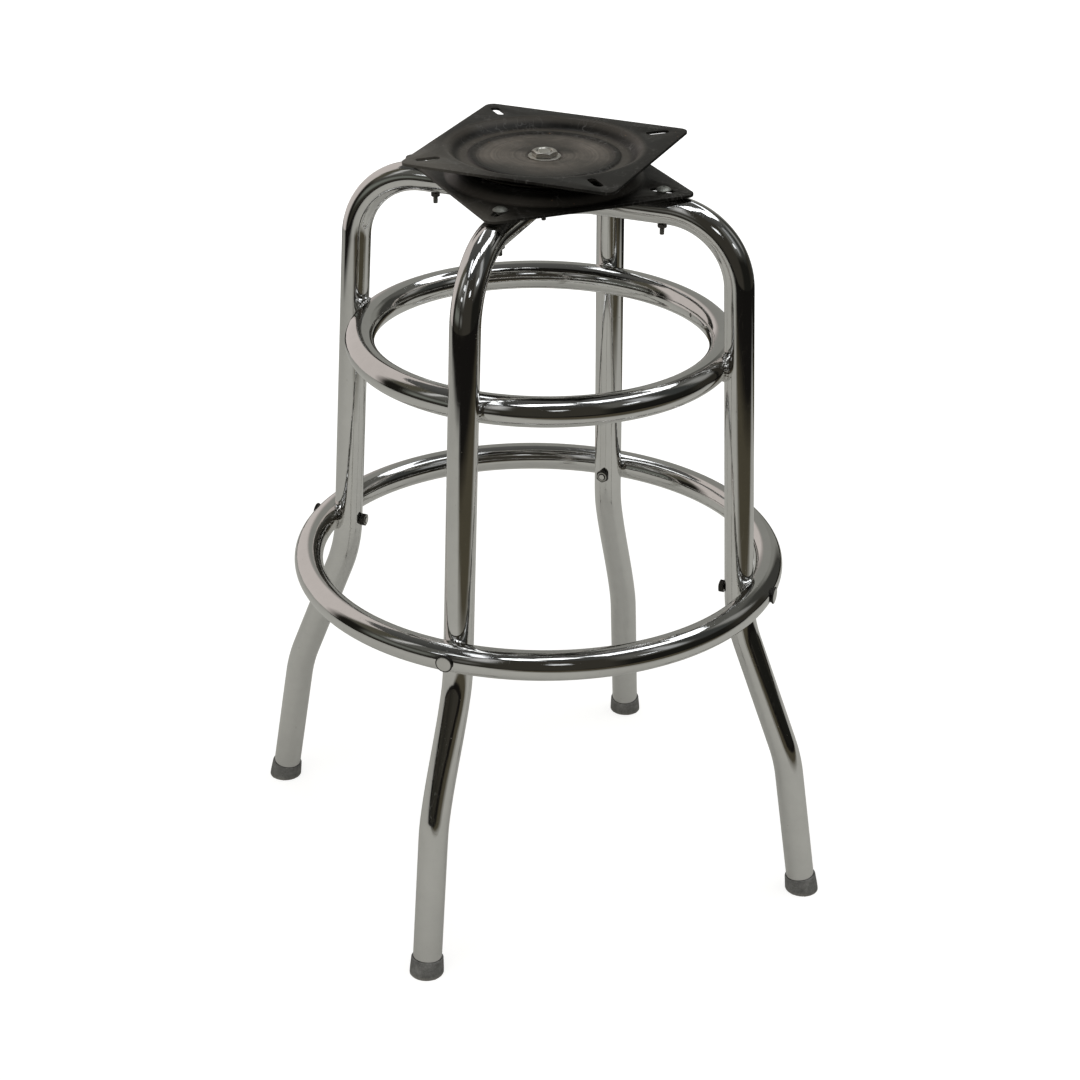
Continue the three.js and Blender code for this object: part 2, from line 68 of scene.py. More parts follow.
# Frames. Two lengths of one-inch steel tube are bent into arches and chromed. They cross at the
# top, where each is pressed half flat, and their four ends stand on the floor as the legs.
# From here on, sizes are in millimetres, and a piece is brought to metres when it is finished.
MM = 0.001
tube_radius = 12.7
tube_sides = 48
top_height = 636
shoulder_reach = 171
knee_reach = 189.8
knee_height = 269
ankle_height = 135
shoulder_bend, knee_bend, ankle_bend = (63.5, 40), (150, 14), (150, 12)
side_ankle_reach, side_foot_reach = 242.4, 264
end_ankle_reach, end_foot_reach = 227.4, 245
end_foot_toe = 7.2
tube_end_height = 3.2
straight_steps = 12
foot_steps = 6
pressed_half_length = 20
pressed_taper = 24
pressed_steps = 22
pressed_width = 33
pressed_height = 13.5
pressed_sag = 1.9
merge_distance = 0.001
leg_turns = {"right": 0, "back": 90, "left": 180, "front": 270}


def smooth_step(value, low, high):
    share = min(max((value - low) / (high - low), 0), 1)
    return share * share * (3 - 2 * share)


def turn_shape(bm, degrees, axis="Z", verts=None):
    """The shape, or some of its corners, turned about an axis through the origin."""
    matrix = Matrix.Rotation(math.radians(degrees), 3, axis)
    bmesh.ops.rotate(bm, cent=(0, 0, 0), matrix=matrix, verts=verts or bm.verts)


def shift_shape(bm, way, verts=None):
    bmesh.ops.translate(bm, vec=way, verts=verts or bm.verts)


def everything(bm):
    return bm.verts[:] + bm.edges[:] + bm.faces[:]


def face_outwards(bm):
    bmesh.ops.recalc_face_normals(bm, faces=bm.faces[:])


def mesh_of(name, bm):
    mesh = bpy.data.meshes.new(name)
    bm.to_mesh(mesh)
    bm.free()
    return mesh


def finish_piece(name, bm, material, body, nodes, crease=35):
    """The shape becomes an object in metres that rides on its body, and the nodes it replaces are
    hidden.
    """
    bmesh.ops.scale(bm, vec=(MM, MM, MM), verts=bm.verts)
    for face in bm.faces:
        face.smooth = True
    for edge in bm.edges:
        if edge.is_manifold and edge.calc_face_angle(0) > math.radians(crease):
            edge.smooth = False
    piece = add_object(name, mesh_of(name, bm))
    piece.data.materials.append(material)
    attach(piece, body)
    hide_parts(*nodes)


def start_tube(bm, place, turn_axis):
    """An open end of tube. The attribute drawn holds the place round and along the tube."""
    drawn = bm.verts.layers.float_vector.new("drawn")
    ring = bmesh.ops.create_circle(
        bm, cap_ends=False, radius=tube_radius, segments=tube_sides)["verts"]
    for vert in ring:
        vert[drawn] = (vert.co.x / tube_radius, vert.co.y / tube_radius, 0)
    turn_shape(bm, 90, turn_axis, ring)
    shift_shape(bm, place, ring)
    return bm.edges[:]


def run_on(bm, rim, length, steps, **turning):
    """The tube goes on by a length in equal steps, straight or turning, and drawn grows with it."""
    drawn = bm.verts.layers.float_vector["drawn"]
    before, so_far = len(bm.verts), rim[0].verts[0][drawn][2]
    made = bmesh.ops.spin(bm, geom=rim, steps=steps, use_merge=False, use_duplicate=False, **turning)
    bm.verts.ensure_lookup_table()
    for index in range(before, len(bm.verts)):
        step = (index - before) // len(rim) + 1
        vert = bm.verts[index]
        vert[drawn] = (vert[drawn][0], vert[drawn][1], so_far + step * length / steps)
    return [part for part in made["geom_last"] if isinstance(part, bmesh.types.BMEdge)]


def run_straight(bm, rim, way, steps):
    return run_on(bm, rim, way.length, steps, cent=(0, 0, 0), axis=(0, 0, 1), angle=0,
                  dvec=way / steps)


def bend_round(bm, rim, centre, axis, angle, steps, radius):
    """A bend, as over the former of a tube bender."""
    return run_on(bm, rim, abs(angle) * radius, steps, cent=centre, axis=axis, angle=angle)


def bend_between(before, corner, after, radius):
    """Where a bend between two straight runs starts, its centre, and how far it turns."""
    back, ahead = (before - corner).normalized(), (after - corner).normalized()
    half = back.angle(ahead) / 2
    centre = corner + (back + ahead).normalized() * radius / math.sin(half)
    turn = (math.pi - 2 * half) * (1 if ahead.cross(back).y > 0 else -1)
    return corner + back * radius / math.tan(half), centre, turn


def bent_frame(ankle_reach, foot_reach, toe, pressed_from_top):
    """Half an arch is run from the crossing to a foot and mirrored. Then its middle is pressed."""
    corners = [Vector((reach, 0, height)) for reach, height in (
        (0, top_height), (shoulder_reach, top_height), (knee_reach, knee_height),
        (ankle_reach, ankle_height), (foot_reach, 0))]
    crossing, ankle, foot = corners[0], corners[3], corners[4]
    lowest = foot + (ankle - foot).normalized() * tube_end_height
    bm = bmesh.new()
    rim = start_tube(bm, crossing, "Y")
    here = Vector((pressed_half_length + pressed_taper, 0, top_height))
    rim = run_straight(bm, rim, here - crossing, pressed_steps)
    for index, (radius, steps) in enumerate((shoulder_bend, knee_bend, ankle_bend)):
        before, corner, after = corners[index:index + 3]
        start, centre, turn = bend_between(before, corner, after, radius)
        rim = run_straight(bm, rim, start - here, straight_steps)
        rim = bend_round(bm, rim, centre, (0, 1, 0), turn, steps, radius)
        ahead = (after - corner).normalized()
        here = corner + ahead * (start - corner).length
    run_straight(bm, rim, lowest - here, foot_steps)
    bmesh.ops.mirror(bm, geom=everything(bm), axis="X", merge_dist=merge_distance)
    for vert in bm.verts:
        along, height = abs(vert.co.x), vert.co.z
        if height > top_height - 2 * tube_radius:
            press = 1 - smooth_step(along, pressed_half_length, pressed_half_length + pressed_taper)
            squeeze = 1 - press * (1 - pressed_height / (2 * tube_radius))
            vert.co.y *= 1 + press * (pressed_width / (2 * tube_radius) - 1)
            if pressed_from_top:
                under = top_height - tube_radius
                vert.co.z = under - press * pressed_sag + (height - under) * squeeze
            else:
                over = top_height + tube_radius
                vert.co.z = over - (over - height) * squeeze
        drop = smooth_step(knee_height - height, 0, knee_height - ankle_height)
        vert.co.y -= math.copysign(toe * drop, vert.co.x)
    bmesh.ops.holes_fill(bm, edges=bm.edges[:], sides=0)
    face_outwards(bm)
    return bm


class Nodes:
    """Short calls for laying out the nodes of a material or of a group."""

    def __init__(self, tree):
        self.tree = tree

    def add(self, kind, values=(), **settings):
        node = self.tree.nodes.new(kind)
        for name, value in settings.items():
            setattr(node, name, value)
        for name, value in dict(values).items():
            self.feed(node.inputs[name], value)
        return node

    def feed(self, socket, value):
        if isinstance(value, bpy.types.NodeSocket):
            self.tree.links.new(value, socket)
        else:
            socket.default_value = value

    def group(self, name, **values):
        return self.add("ShaderNodeGroup", values, node_tree=bpy.data.node_groups[name]).outputs[0]

    def math(self, operation, *terms, clamp=False):
        values = dict(enumerate(terms))
        return self.add("ShaderNodeMath", values, operation=operation, use_clamp=clamp).outputs[0]

    def times(self, first, second):
        return self.math("MULTIPLY", first, second)

    def times_plus(self, first, second, third):
        return self.math("MULTIPLY_ADD", first, second, third)

    def blend(self, share, first, second):
        node = self.add("ShaderNodeMix", data_type="RGBA")
        for socket, value in ((0, share), (6, first), (7, second)):
            self.feed(node.inputs[socket], value)
        return node.outputs[2]

    def fade(self, value, low, high, start=0.0, end=1.0):
        values = {"Value": value, "From Min": low, "From Max": high, "To Min": start, "To Max": end}
        return self.add("ShaderNodeMapRange", values, clamp=True).outputs[0]

    def noise(self, vector, scale, detail=3.0, rough=0.5):
        values = {"Vector": vector, "Scale": scale, "Detail": detail, "Roughness": rough}
        return self.add("ShaderNodeTexNoise", values).outputs[0]

    def place(self):
        return self.add("ShaderNodeTexCoord").outputs["Object"]

    def parts(self, vector):
        return self.add("ShaderNodeSeparateXYZ", {0: vector}).outputs

    def reach(self, parts):
        """How far a place lies from the upright line through the origin."""
        squares = [self.times(parts[axis], parts[axis]) for axis in "XY"]
        return self.math("SQRT", self.math("ADD", *squares))

    def along_reach(self, reach, scale, detail):
        """A noise that changes with the reach alone, and so makes rings."""
        line = self.add("ShaderNodeCombineXYZ", {0: reach}).outputs[0]
        return self.noise(line, scale, detail)

    def bump(self, shader, height, strength, distance):
        values = {"Height": height, "Strength": strength, "Distance": distance}
        self.feed(shader.inputs["Normal"], self.add("ShaderNodeBump", values).outputs[0])


def colour(red, green, blue):
    return (red, green, blue, 1)


def new_group(name, inputs, output):
    """A node group whose first input is a vector and whose output is a mask."""
    tree = bpy.data.node_groups.new(name, "ShaderNodeTree")
    tree.interface.new_socket("Vector", in_out="INPUT", socket_type="NodeSocketVector")
    for label in inputs:
        tree.interface.new_socket(label, in_out="INPUT", socket_type="NodeSocketFloat")
    tree.interface.new_socket(output, in_out="OUTPUT", socket_type="NodeSocketFloat")
    nodes = Nodes(tree)
    return nodes, nodes.add("NodeGroupInput").outputs, nodes.add("NodeGroupOutput").inputs


def new_material(name, **settings):
    material = bpy.data.materials.new(name)
    material.use_nodes = True
    nodes = Nodes(material.node_tree)
    shader = material.node_tree.nodes["Principled BSDF"]
    for label, value in settings.items():
        shader.inputs[label.replace("_", " ")].default_value = value
    return material, nodes, shader


# Fine scratches in every direction, from handling, as a mask of thin broken lines. Each lay of
# them is turned its own way and drawn out by its own stretch.
scratch_lays = (((0.3, 0.5, 0.9), 9), ((1.7, 0.2, 2.4), 14), ((0.9, 2.1, 1.2), 11))
scratch_breaks = 38.0
nodes, given, result = new_group("handling scratches", ("Density", "Thinness"), "Lines")
lines = 0.0
for lay, stretch in scratch_lays:
    laid = nodes.add("ShaderNodeMapping", {
        "Vector": given["Vector"], "Rotation": lay, "Scale": (1, 1, 1 / stretch)}).outputs[0]
    warp = nodes.noise(laid, given["Density"], 1.0)
    thin = nodes.math("ABSOLUTE", nodes.math("SUBTRACT", warp, 0.5))
    line = nodes.math("SUBTRACT", 1.0, nodes.times(thin, given["Thinness"]), clamp=True)
    there = nodes.fade(nodes.noise(laid, scratch_breaks, 2.0), 0.52, 0.66)
    lines = nodes.math("MAXIMUM", lines, nodes.times(line, there))
nodes.feed(result["Lines"], lines)

# Smudges and dust films that a hand or a cloth leaves, as a mask of soft patches. The patches
# come in two sizes, and the fine ones count for a third.
fine_patches_per_broad = 7.0
broad_share, fine_share = 0.65, 0.35
nodes, given, result = new_group("smudges", ("Scale",), "Patches")
broad = nodes.fade(nodes.noise(given["Vector"], given["Scale"], 4.0, 0.6), 0.35, 0.7)
fine_scale = nodes.times(given["Scale"], fine_patches_per_broad)
fine = nodes.fade(nodes.noise(given["Vector"], fine_scale, 3.0, 0.65), 0.4, 0.72)
patches = nodes.times_plus(broad, broad_share, nodes.times(fine, fine_share))
nodes.feed(result["Patches"], patches)

# Pits and rust specks where plate or paint has failed, as a mask of small spots with crisp rims.
# They are thinly strewn: Amount is the share of the cells that hold one.
spot_core, spot_rim = 0.05, 0.16
nodes, given, result = new_group("pits", ("Scale", "Amount"), "Spots")
cells = nodes.add("ShaderNodeTexVoronoi", {"Vector": given["Vector"], "Scale": given["Scale"]})
spot = nodes.fade(cells.outputs["Distance"], spot_core, spot_rim, 1, 0)
chosen = nodes.add("ShaderNodeSeparateColor", {0: cells.outputs["Color"]}).outputs[0]
nodes.feed(result["Spots"], nodes.times(spot, nodes.math("LESS_THAN", chosen, given["Amount"])))


def wear(nodes, place, film_scale, density, thinness, pit_scale, pit_amount):
    """The masks of smudged film, handling scratches and pits, each at its own scale."""
    return (nodes.group("smudges", Vector=place, Scale=film_scale),
            nodes.group("handling scratches", Vector=place, Density=density, Thinness=thinness),
            nodes.group("pits", Vector=place, Scale=pit_scale, Amount=pit_amount))


def worn_chrome(name, tint, rough, streaky=False, shaded_and_grimy=False):
    """Bright chrome plate: draw lines along the tube, smudges, fine scratches and a few pits."""
    material, nodes, shader = new_material(name, Metallic=1.0)
    place = nodes.place()
    film, scratches, pits = wear(nodes, place, 14.0, 160.0, 60.0, 260.0, 0.035)
    plate = nodes.blend(film, colour(*tint), colour(*(0.9 * part for part in tint)))
    shown = nodes.blend(nodes.times(pits, 0.7), plate, colour(0.2, 0.16, 0.13))
    roughness = nodes.fade(film, 0, 1, rough, 2.2 * rough)
    # Where a fastener is marked for it, its colour is darkened towards near black: painted shade with
    # some grime.
    if shaded_and_grimy:
        grime_and_shade = nodes.add("ShaderNodeAttribute", attribute_name="grime_and_shade").outputs["Fac"]
        shown = nodes.blend(nodes.times(grime_and_shade, 0.92), shown, colour(0.02, 0.018, 0.014))
        roughness = nodes.times_plus(grime_and_shade, 0.4, roughness)
    nodes.feed(shader.inputs["Base Color"], shown)
    roughness = nodes.times_plus(scratches, 0.12, roughness)
    roughness = nodes.times_plus(pits, 0.4, roughness)
    nodes.feed(shader.inputs["Roughness"], roughness)
    wave = nodes.noise(place, 42.0, 1.0)
    height = nodes.times_plus(pits, -0.5, nodes.times(wave, 0.5))
    if streaky:
        drawn = nodes.add("ShaderNodeAttribute", attribute_name="drawn").outputs["Vector"]
        stretched = nodes.add("ShaderNodeMapping", {"Vector": drawn, "Scale": (9, 9, 0.006)})
        lines = nodes.noise(stretched.outputs[0], 1.0, 3.0, 0.6)
        height = nodes.times_plus(lines, 0.9, height)
    height = nodes.times_plus(scratches, -0.1, height)
    nodes.bump(shader, height, 0.12, 0.0006)
    return material


tube_chrome = worn_chrome("tube chrome", (0.77, 0.765, 0.75), 0.032, streaky=True)

side_frame = bent_frame(side_ankle_reach, side_foot_reach, 0, True)
finish_piece("frame_left_right_bent", side_frame, tube_chrome, "base", ["frame_left_right"])
end_frame = bent_frame(end_ankle_reach, end_foot_reach, end_foot_toe, False)
turn_shape(end_frame, leg_turns["back"])
finish_piece("frame_front_back_bent", end_frame, tube_chrome, "base", ["frame_front_back"])

# Rings. Each is the same tube rolled into a hoop and closed with a flush seam, then pressed in
# where it lies against the legs. The upper one has a small vent hole on its inner side.
upper_ring_radius, upper_ring_height = 157.3, 504
foot_ring_radius, foot_ring_height = 206.6, 297
leg_slope = (knee_reach - shoulder_reach) / (top_height - knee_height)
seat_gap = 0.1
ring_quarter = ((6, 24), (78, 40), (6, 24))
ring_merge_distance = 0.01
vent_radius, vent_sides = 2, 24
vent_turn = 45
vent_low, vent_high = -tube_radius - 2, -tube_radius + 3


def leg_reach_at(height):
    fall = (top_height - height) / (top_height - knee_height)
    return shoulder_reach + (knee_reach - shoulder_reach) * fall


def press_off_legs(bm, growth):
    """Whatever lies inside a leg is pressed out to the leg's surface."""
    for turn in leg_turns.values():
        outward = Vector((math.cos(math.radians(turn)), math.sin(math.radians(turn)), 0))
        leg_way = (outward * leg_slope - Vector((0, 0, 1))).normalized()
        for vert in bm.verts:
            on_leg = outward * leg_reach_at(vert.co.z) + Vector((0, 0, vert.co.z))
            off = vert.co - on_leg
            off -= leg_way * off.dot(leg_way)
            if off.length < tube_radius + growth:
                vert.co += off * ((tube_radius + growth) / off.length - 1)


def rolled_ring(radius, height):
    """A quarter from leg to leg, with short steps at each leg, then the same three times more."""
    bm = bmesh.new()
    rim = start_tube(bm, Vector((radius, 0, height)), "X")
    for degrees, steps in ring_quarter:
        rim = bend_round(bm, rim, (0, 0, 0), (0, 0, 1), math.radians(degrees), steps, radius)
    bmesh.ops.spin(bm, geom=everything(bm), cent=(0, 0, 0), axis=(0, 0, 1),
                   angle=1.5 * math.pi, steps=3, use_duplicate=True)
    bmesh.ops.remove_doubles(bm, verts=bm.verts, dist=ring_merge_distance)
    press_off_legs(bm, seat_gap)
    face_outwards(bm)
    return bm


def cut_away(bm, cutter):
    """The shape less the cutter."""
    parts = [add_object("cutting", mesh_of("cutting", shape)) for shape in (bm, cutter)]
    cut = parts[0].modifiers.new("cut", "BOOLEAN")
    cut.object = parts[1]
    cut.operation = "DIFFERENCE"
    cut.solver = "EXACT"
    left = bmesh.new()
    left.from_object(parts[0], bpy.context.evaluated_depsgraph_get())
    for part in parts:
        bpy.data.meshes.remove(part.data)
    return left


def lay_level(bm, turn, radius, height, facing=90):
    """A shape about Z is laid level at a bearing, with its top outwards, or inwards at -90."""
    matrix = (Matrix.Rotation(math.radians(turn), 4, "Z") @ Matrix.Translation((radius, 0, height))
              @ Matrix.Rotation(math.radians(facing), 4, "Y"))
    bmesh.ops.transform(bm, matrix=matrix, verts=bm.verts)


upper_ring = rolled_ring(upper_ring_radius, upper_ring_height)
vent = bmesh.new()
bmesh.ops.create_cone(vent, cap_ends=True, segments=vent_sides, radius1=vent_radius, radius2=vent_radius,
                      depth=vent_high - vent_low,
                      matrix=Matrix.Translation((0, 0, (vent_low + vent_high) / 2)))
lay_level(vent, vent_turn, upper_ring_radius, upper_ring_height)
upper_ring = cut_away(upper_ring, vent)
finish_piece("upper_ring_rolled", upper_ring, tube_chrome, "base", ["upper_ring"])

foot_ring = rolled_ring(foot_ring_radius, foot_ring_height)
finish_piece("foot_ring_rolled", foot_ring, tube_chrome, "base", ["foot_ring"])

# Welds. A bead of weld runs round the seat of the upper ring on each leg. It was laid before the
# chrome went on, so its ripples are bright, with dark pits where the plate didn't take.
weld_radius = 10.9
weld_thickness = 1.7
weld_sides, weld_steps = 12, 120
fine_ripples, fine_ripple_share = 26, 0.13
broad_ripples, broad_ripple_share = 7, 0.08
weld_chrome = worn_chrome("weld chrome", (0.7, 0.69, 0.67), 0.1)


def spin_full(bm, geom, steps):
    bmesh.ops.spin(bm, geom=geom, cent=(0, 0, 0), axis=(0, 0, 1), angle=2 * math.pi, steps=steps,
                   use_merge=True, use_duplicate=False)


for leg, turn in leg_turns.items():
    bead = bmesh.new()
    section = bmesh.ops.create_circle(
        bead, cap_ends=False, radius=weld_thickness, segments=weld_sides)["verts"]
    shift_shape(bead, (weld_radius, 0, 0), section)
    turn_shape(bead, 90, "X", section)
    spin_full(bead, bead.edges[:], weld_steps)
    leg_at_ring = leg_reach_at(upper_ring_height)
    for vert in bead.verts:
        around = math.atan2(vert.co.y, vert.co.x)
        ripple = 1 + fine_ripple_share * math.sin(fine_ripples * around + turn)
        ripple += broad_ripple_share * math.sin(broad_ripples * around + 2 * turn)
        off = math.hypot(vert.co.x, vert.co.y) - weld_radius
        reach = weld_radius + off * ripple
        across, up = reach * math.cos(around), reach * math.sin(around)
        leg_face = leg_at_ring - math.sqrt(tube_radius ** 2 - (weld_radius * math.cos(around)) ** 2)
        ring_face = upper_ring_radius + math.sqrt(
            tube_radius ** 2 - (weld_radius * math.sin(around)) ** 2)
        outward = (leg_face + ring_face) / 2 - up * leg_slope + vert.co.z * ripple
        vert.co = (outward, across, upper_ring_height + up)
    turn_shape(bead, turn)
    face_outwards(bead)
    finish_piece(f"weld_bead_{leg}", bead, weld_chrome, "base", [f"ring_weld_{leg}"], 180)

# Foot ring bolts and nuts. A carriage bolt with a low chromed dome goes through ring and leg, and
# a hexagon nut holds it on the leg's inner face. The dome's rim and foot, the shank and the nut are
# darkened: painted shade of the crevice round the dome and of the shadowed bolt end and nut, with
# some grime.
bolt_seat = 219.6
bolt_gap = 0.12
bolt_head_radius, bolt_head_height = 7.6, 2.2
bolt_head_sunk, bolt_head_skirt = 2.2, 1
bolt_rim_shade_width, bolt_foot_shade_rise = 1.1, 0.2
dome_outline = (
    (0, -bolt_head_sunk),
    (bolt_head_radius - bolt_head_skirt, -bolt_head_sunk),
    (bolt_head_radius - bolt_head_skirt, 0.1),
    (bolt_head_radius, 0.5),
    (bolt_head_radius, 1.3),
    (bolt_head_radius - 0.9, 1.6),
    (bolt_head_radius - 1.7, 1.75),
    (bolt_head_radius * 0.5, 2.05),
    (0, bolt_head_height),
)
dome_roundings = {3: (0.15, 2), 4: (0.3, 3)}
bolt_radius = 3.175
bolt_pitch = 1.27
bolt_tip, bolt_thread_shown = 170, 12
bolt_crease = 40
ring_nut_flats, ring_nut_faces = 10.6, (175.0, 170.8)
nut_shade_inset = 0.8
thread_gap = 0.05
spun_sides = 64
spun_merge_distance = 0.002
nut_steps = 72
nut_face_share = 0.96
nut_edge, nut_cone = 0.2, 30
countersink_share = 0.12
thread_depth_share = 0.54
thread_sides, steps_per_thread = 32, 8


def draw_outline(bm, points, closed=False):
    """A chain of edges through points given as radius and height, or a loop where it is closed."""
    verts = [bm.verts.new((radius, 0, height)) for radius, height in points]
    following = verts[1:] + verts[:1] if closed else verts[1:]
    for first, second in zip(verts, following):
        bm.edges.new((first, second))
    return verts


def soften(bm, geom, size, segments, affect="VERTICES"):
    bmesh.ops.bevel(bm, geom=geom, offset=size, offset_type="OFFSET", affect=affect,
                    segments=segments, profile=0.5, material=-1)


def spun(outline, roundings, steps=spun_sides):
    """An outline of radius and height turned about Z, with the numbered corners rounded."""
    bm = bmesh.new()
    verts = draw_outline(bm, outline)
    for index, (radius, segments) in roundings.items():
        soften(bm, [verts[index]], radius, segments)
    spin_full(bm, bm.verts[:] + bm.edges[:], steps)
    bmesh.ops.remove_doubles(bm, verts=bm.verts, dist=spun_merge_distance)
    face_outwards(bm)
    return bm


def join_shapes(bm, other):
    mesh = mesh_of("joining", other)
    bm.from_mesh(mesh)
    bpy.data.meshes.remove(mesh)
    return bm


def hexagon_nut(flats, low, high, bore, both_faces=False):
    """A nut about Z with a countersunk bore. Its top corners, or all, are turned off to a cone."""
    side = flats / 2
    face_radius = side * nut_face_share
    sink = countersink_share * bore
    bm = bmesh.new()
    draw_outline(bm, [
        (bore, low), (face_radius, low), (side, low + nut_edge), (side, high - nut_edge),
        (face_radius, high), (bore + sink, high), (bore, high - sink)], closed=True)
    spin_full(bm, bm.verts[:] + bm.edges[:], nut_steps)
    for vert in bm.verts:
        if vert.co.xy.length < side - 0.01:
            continue
        angle = math.atan2(vert.co.y, vert.co.x) % (math.pi / 3) - math.pi / 6
        grow = 1 / math.cos(angle)
        vert.co.x *= grow
        vert.co.y *= grow
        fall = (side * grow - face_radius) * math.tan(math.radians(nut_cone))
        if vert.co.z > (low + high) / 2:
            vert.co.z = high - fall
        elif both_faces:
            vert.co.z = low + fall
    face_outwards(bm)
    return bm


def threaded_rod(radius, low, high, pitch, point=0.6, plain_to=None):
    """A rod with a rolled thread: rings of the rod swell and shrink along a helix."""
    steps = max(int((high - low) / pitch * steps_per_thread), 2)
    bm = bmesh.new()
    bmesh.ops.create_circle(bm, cap_ends=False, radius=radius, segments=thread_sides)
    shift_shape(bm, (0, 0, low))
    made = bmesh.ops.spin(bm, geom=bm.edges[:], cent=(0, 0, 0), axis=(0, 0, 1), angle=0,
                          dvec=(0, 0, (high - low) / steps), steps=steps, use_merge=False,
                          use_duplicate=False)
    if plain_to:
        rim = [part for part in made["geom_last"] if isinstance(part, bmesh.types.BMEdge)]
        run = bmesh.ops.extrude_edge_only(bm, edges=rim)["geom"]
        shift_shape(bm, (0, 0, plain_to - high),
                    [part for part in run if isinstance(part, bmesh.types.BMVert)])
    bmesh.ops.holes_fill(bm, edges=bm.edges[:], sides=0)
    for vert in bm.verts:
        if vert.co.z > high + 0.01:
            continue
        angle = math.atan2(vert.co.y, vert.co.x)
        phase = (vert.co.z / pitch - angle / (2 * math.pi)) % 1
        deepest = thread_depth_share * pitch
        depth = deepest * (1 - abs(2 * phase - 1))
        near_end = min(vert.co.z - low, high - vert.co.z)
        if near_end < point:
            depth = max(depth, deepest * (1 - near_end / point))
        vert.co.x *= (radius - depth) / radius
        vert.co.y *= (radius - depth) / radius
    face_outwards(bm)
    return bm


def add_grime_and_shade(bm, dirty):
    """An attribute marks where a fastener is darkened: painted shade in its crevices and shadowed parts,
    with grime.
    """
    layer = bm.verts.layers.float.new("grime_and_shade")
    for vert in bm.verts:
        vert[layer] = 1.0 if dirty(vert.co) else 0.0


def seat_on_ring(bm):
    """Whatever of a level head lies inside the foot ring is moved out to the ring's surface."""
    for vert in bm.verts:
        level = vert.co.z - foot_ring_height
        reach = math.hypot(vert.co.x, vert.co.y) - foot_ring_radius
        least = tube_radius + bolt_gap
        if math.hypot(level, reach) < least:
            vert.co.x += math.sqrt(least ** 2 - level ** 2) - reach


bolt_chrome = worn_chrome("bolt chrome", (0.7, 0.69, 0.67), 0.08, shaded_and_grimy=True)
nut_chrome = worn_chrome("nut chrome", (0.7, 0.69, 0.65), 0.14, shaded_and_grimy=True)
for leg, turn in leg_turns.items():
    dome = spun([(radius, bolt_seat + height) for radius, height in dome_outline], dome_roundings)
    # Painted shade with grime: the dome's rim and foot are darkened, where it meets the ring.
    add_grime_and_shade(dome, lambda place: (place.xy.length > bolt_head_radius - bolt_rim_shade_width
                                   or place.z < bolt_seat + bolt_foot_shade_rise))
    lay_level(dome, 0, 0, foot_ring_height)
    seat_on_ring(dome)
    turn_shape(dome, turn)
    shank = threaded_rod(bolt_radius, bolt_tip, bolt_tip + bolt_thread_shown, bolt_pitch)
    # Painted shade with grime: the shank is darkened, as a bolt end in shadow.
    add_grime_and_shade(shank, lambda place: place.z > bolt_tip)
    lay_level(shank, turn, 0, foot_ring_height)
    finish_piece(f"carriage_bolt_{leg}", join_shapes(dome, shank), bolt_chrome, "base",
                 [f"ring_bolt_{leg}"], bolt_crease)
    nut = hexagon_nut(ring_nut_flats, -ring_nut_faces[0], -ring_nut_faces[1], bolt_radius + thread_gap)
    # Painted shade with grime: the nut is darkened outside its bore.
    add_grime_and_shade(nut, lambda place: place.xy.length > bolt_radius + nut_shade_inset)
    lay_level(nut, turn, 0, foot_ring_height, -90)
    finish_piece(f"bolt_nut_{leg}", nut, nut_chrome, "base", [f"ring_nut_{leg}"])

# Leg tips. Dark grey moulded plastic caps are pushed over the tube ends. They have a rolled lip,
# and the floor has worn their undersides flat and dirty.
tip_rise, tip_floor, tip_skirt = 15, 2.9, 2
tip_top_radius, tip_base_radius = 14.1, 15
tip_bore = tube_radius + 0.12
tip_overrun = 12
tip_roundings = {3: (0.7, 4), 4: (0.25, 2), 2: (3, 3)}
tip_sides = 96
tip_edge, tip_edge_segments = 0.7, 3
tip_dirt_height = 0.004

tip_plastic, nodes, shader = new_material("tip plastic", Metallic=0.0, Specular_IOR_Level=0.35)
place = nodes.place()
film = nodes.group("smudges", Vector=place, Scale=90.0)
mottled = nodes.blend(film, colour(0.12, 0.119, 0.113), colour(0.3, 0.298, 0.285))
worn = nodes.fade(nodes.parts(place)["Z"], 0.0, tip_dirt_height, 1, 0)
dirt = nodes.times(worn, nodes.noise(place, 180.0))
nodes.feed(shader.inputs["Base Color"], nodes.blend(dirt, mottled, colour(0.36, 0.34, 0.3)))
nodes.feed(shader.inputs["Roughness"], nodes.fade(film, 0, 1, 0.5, 0.75))
nodes.bump(shader, nodes.noise(place, 900.0, 2.0), 0.3, 0.0003)

for leg, turn in leg_turns.items():
    if leg in ("right", "left"):
        ankle_reach, foot_reach, toe = side_ankle_reach, side_foot_reach, 0
    else:
        ankle_reach, foot_reach, toe = end_ankle_reach, end_foot_reach, end_foot_toe
    tip = spun([(0, -tip_overrun), (tip_base_radius, -tip_overrun), (tip_base_radius, tip_skirt),
                (tip_top_radius, tip_rise), (tip_bore, tip_rise), (tip_bore, tip_floor),
                (0, tip_floor)], tip_roundings, tip_sides)
    turn_shape(tip, -math.degrees(math.atan2(foot_reach - ankle_reach, ankle_height)), "Y")
    shift_shape(tip, (foot_reach, -toe, 0))
    bmesh.ops.bisect_plane(tip, geom=everything(tip), dist=merge_distance, plane_co=(0, 0, 0),
                           plane_no=(0, 0, 1), clear_inner=True)
    cut = [edge for edge in tip.edges if edge.is_boundary]
    bmesh.ops.holes_fill(tip, edges=cut, sides=0)
    soften(tip, cut, tip_edge, tip_edge_segments, "EDGES")
    turn_shape(tip, turn)
    face_outwards(tip)
    finish_piece(f"tip_cap_{leg}", tip, tip_plastic, "base", [f"leg_tip_{leg}"])

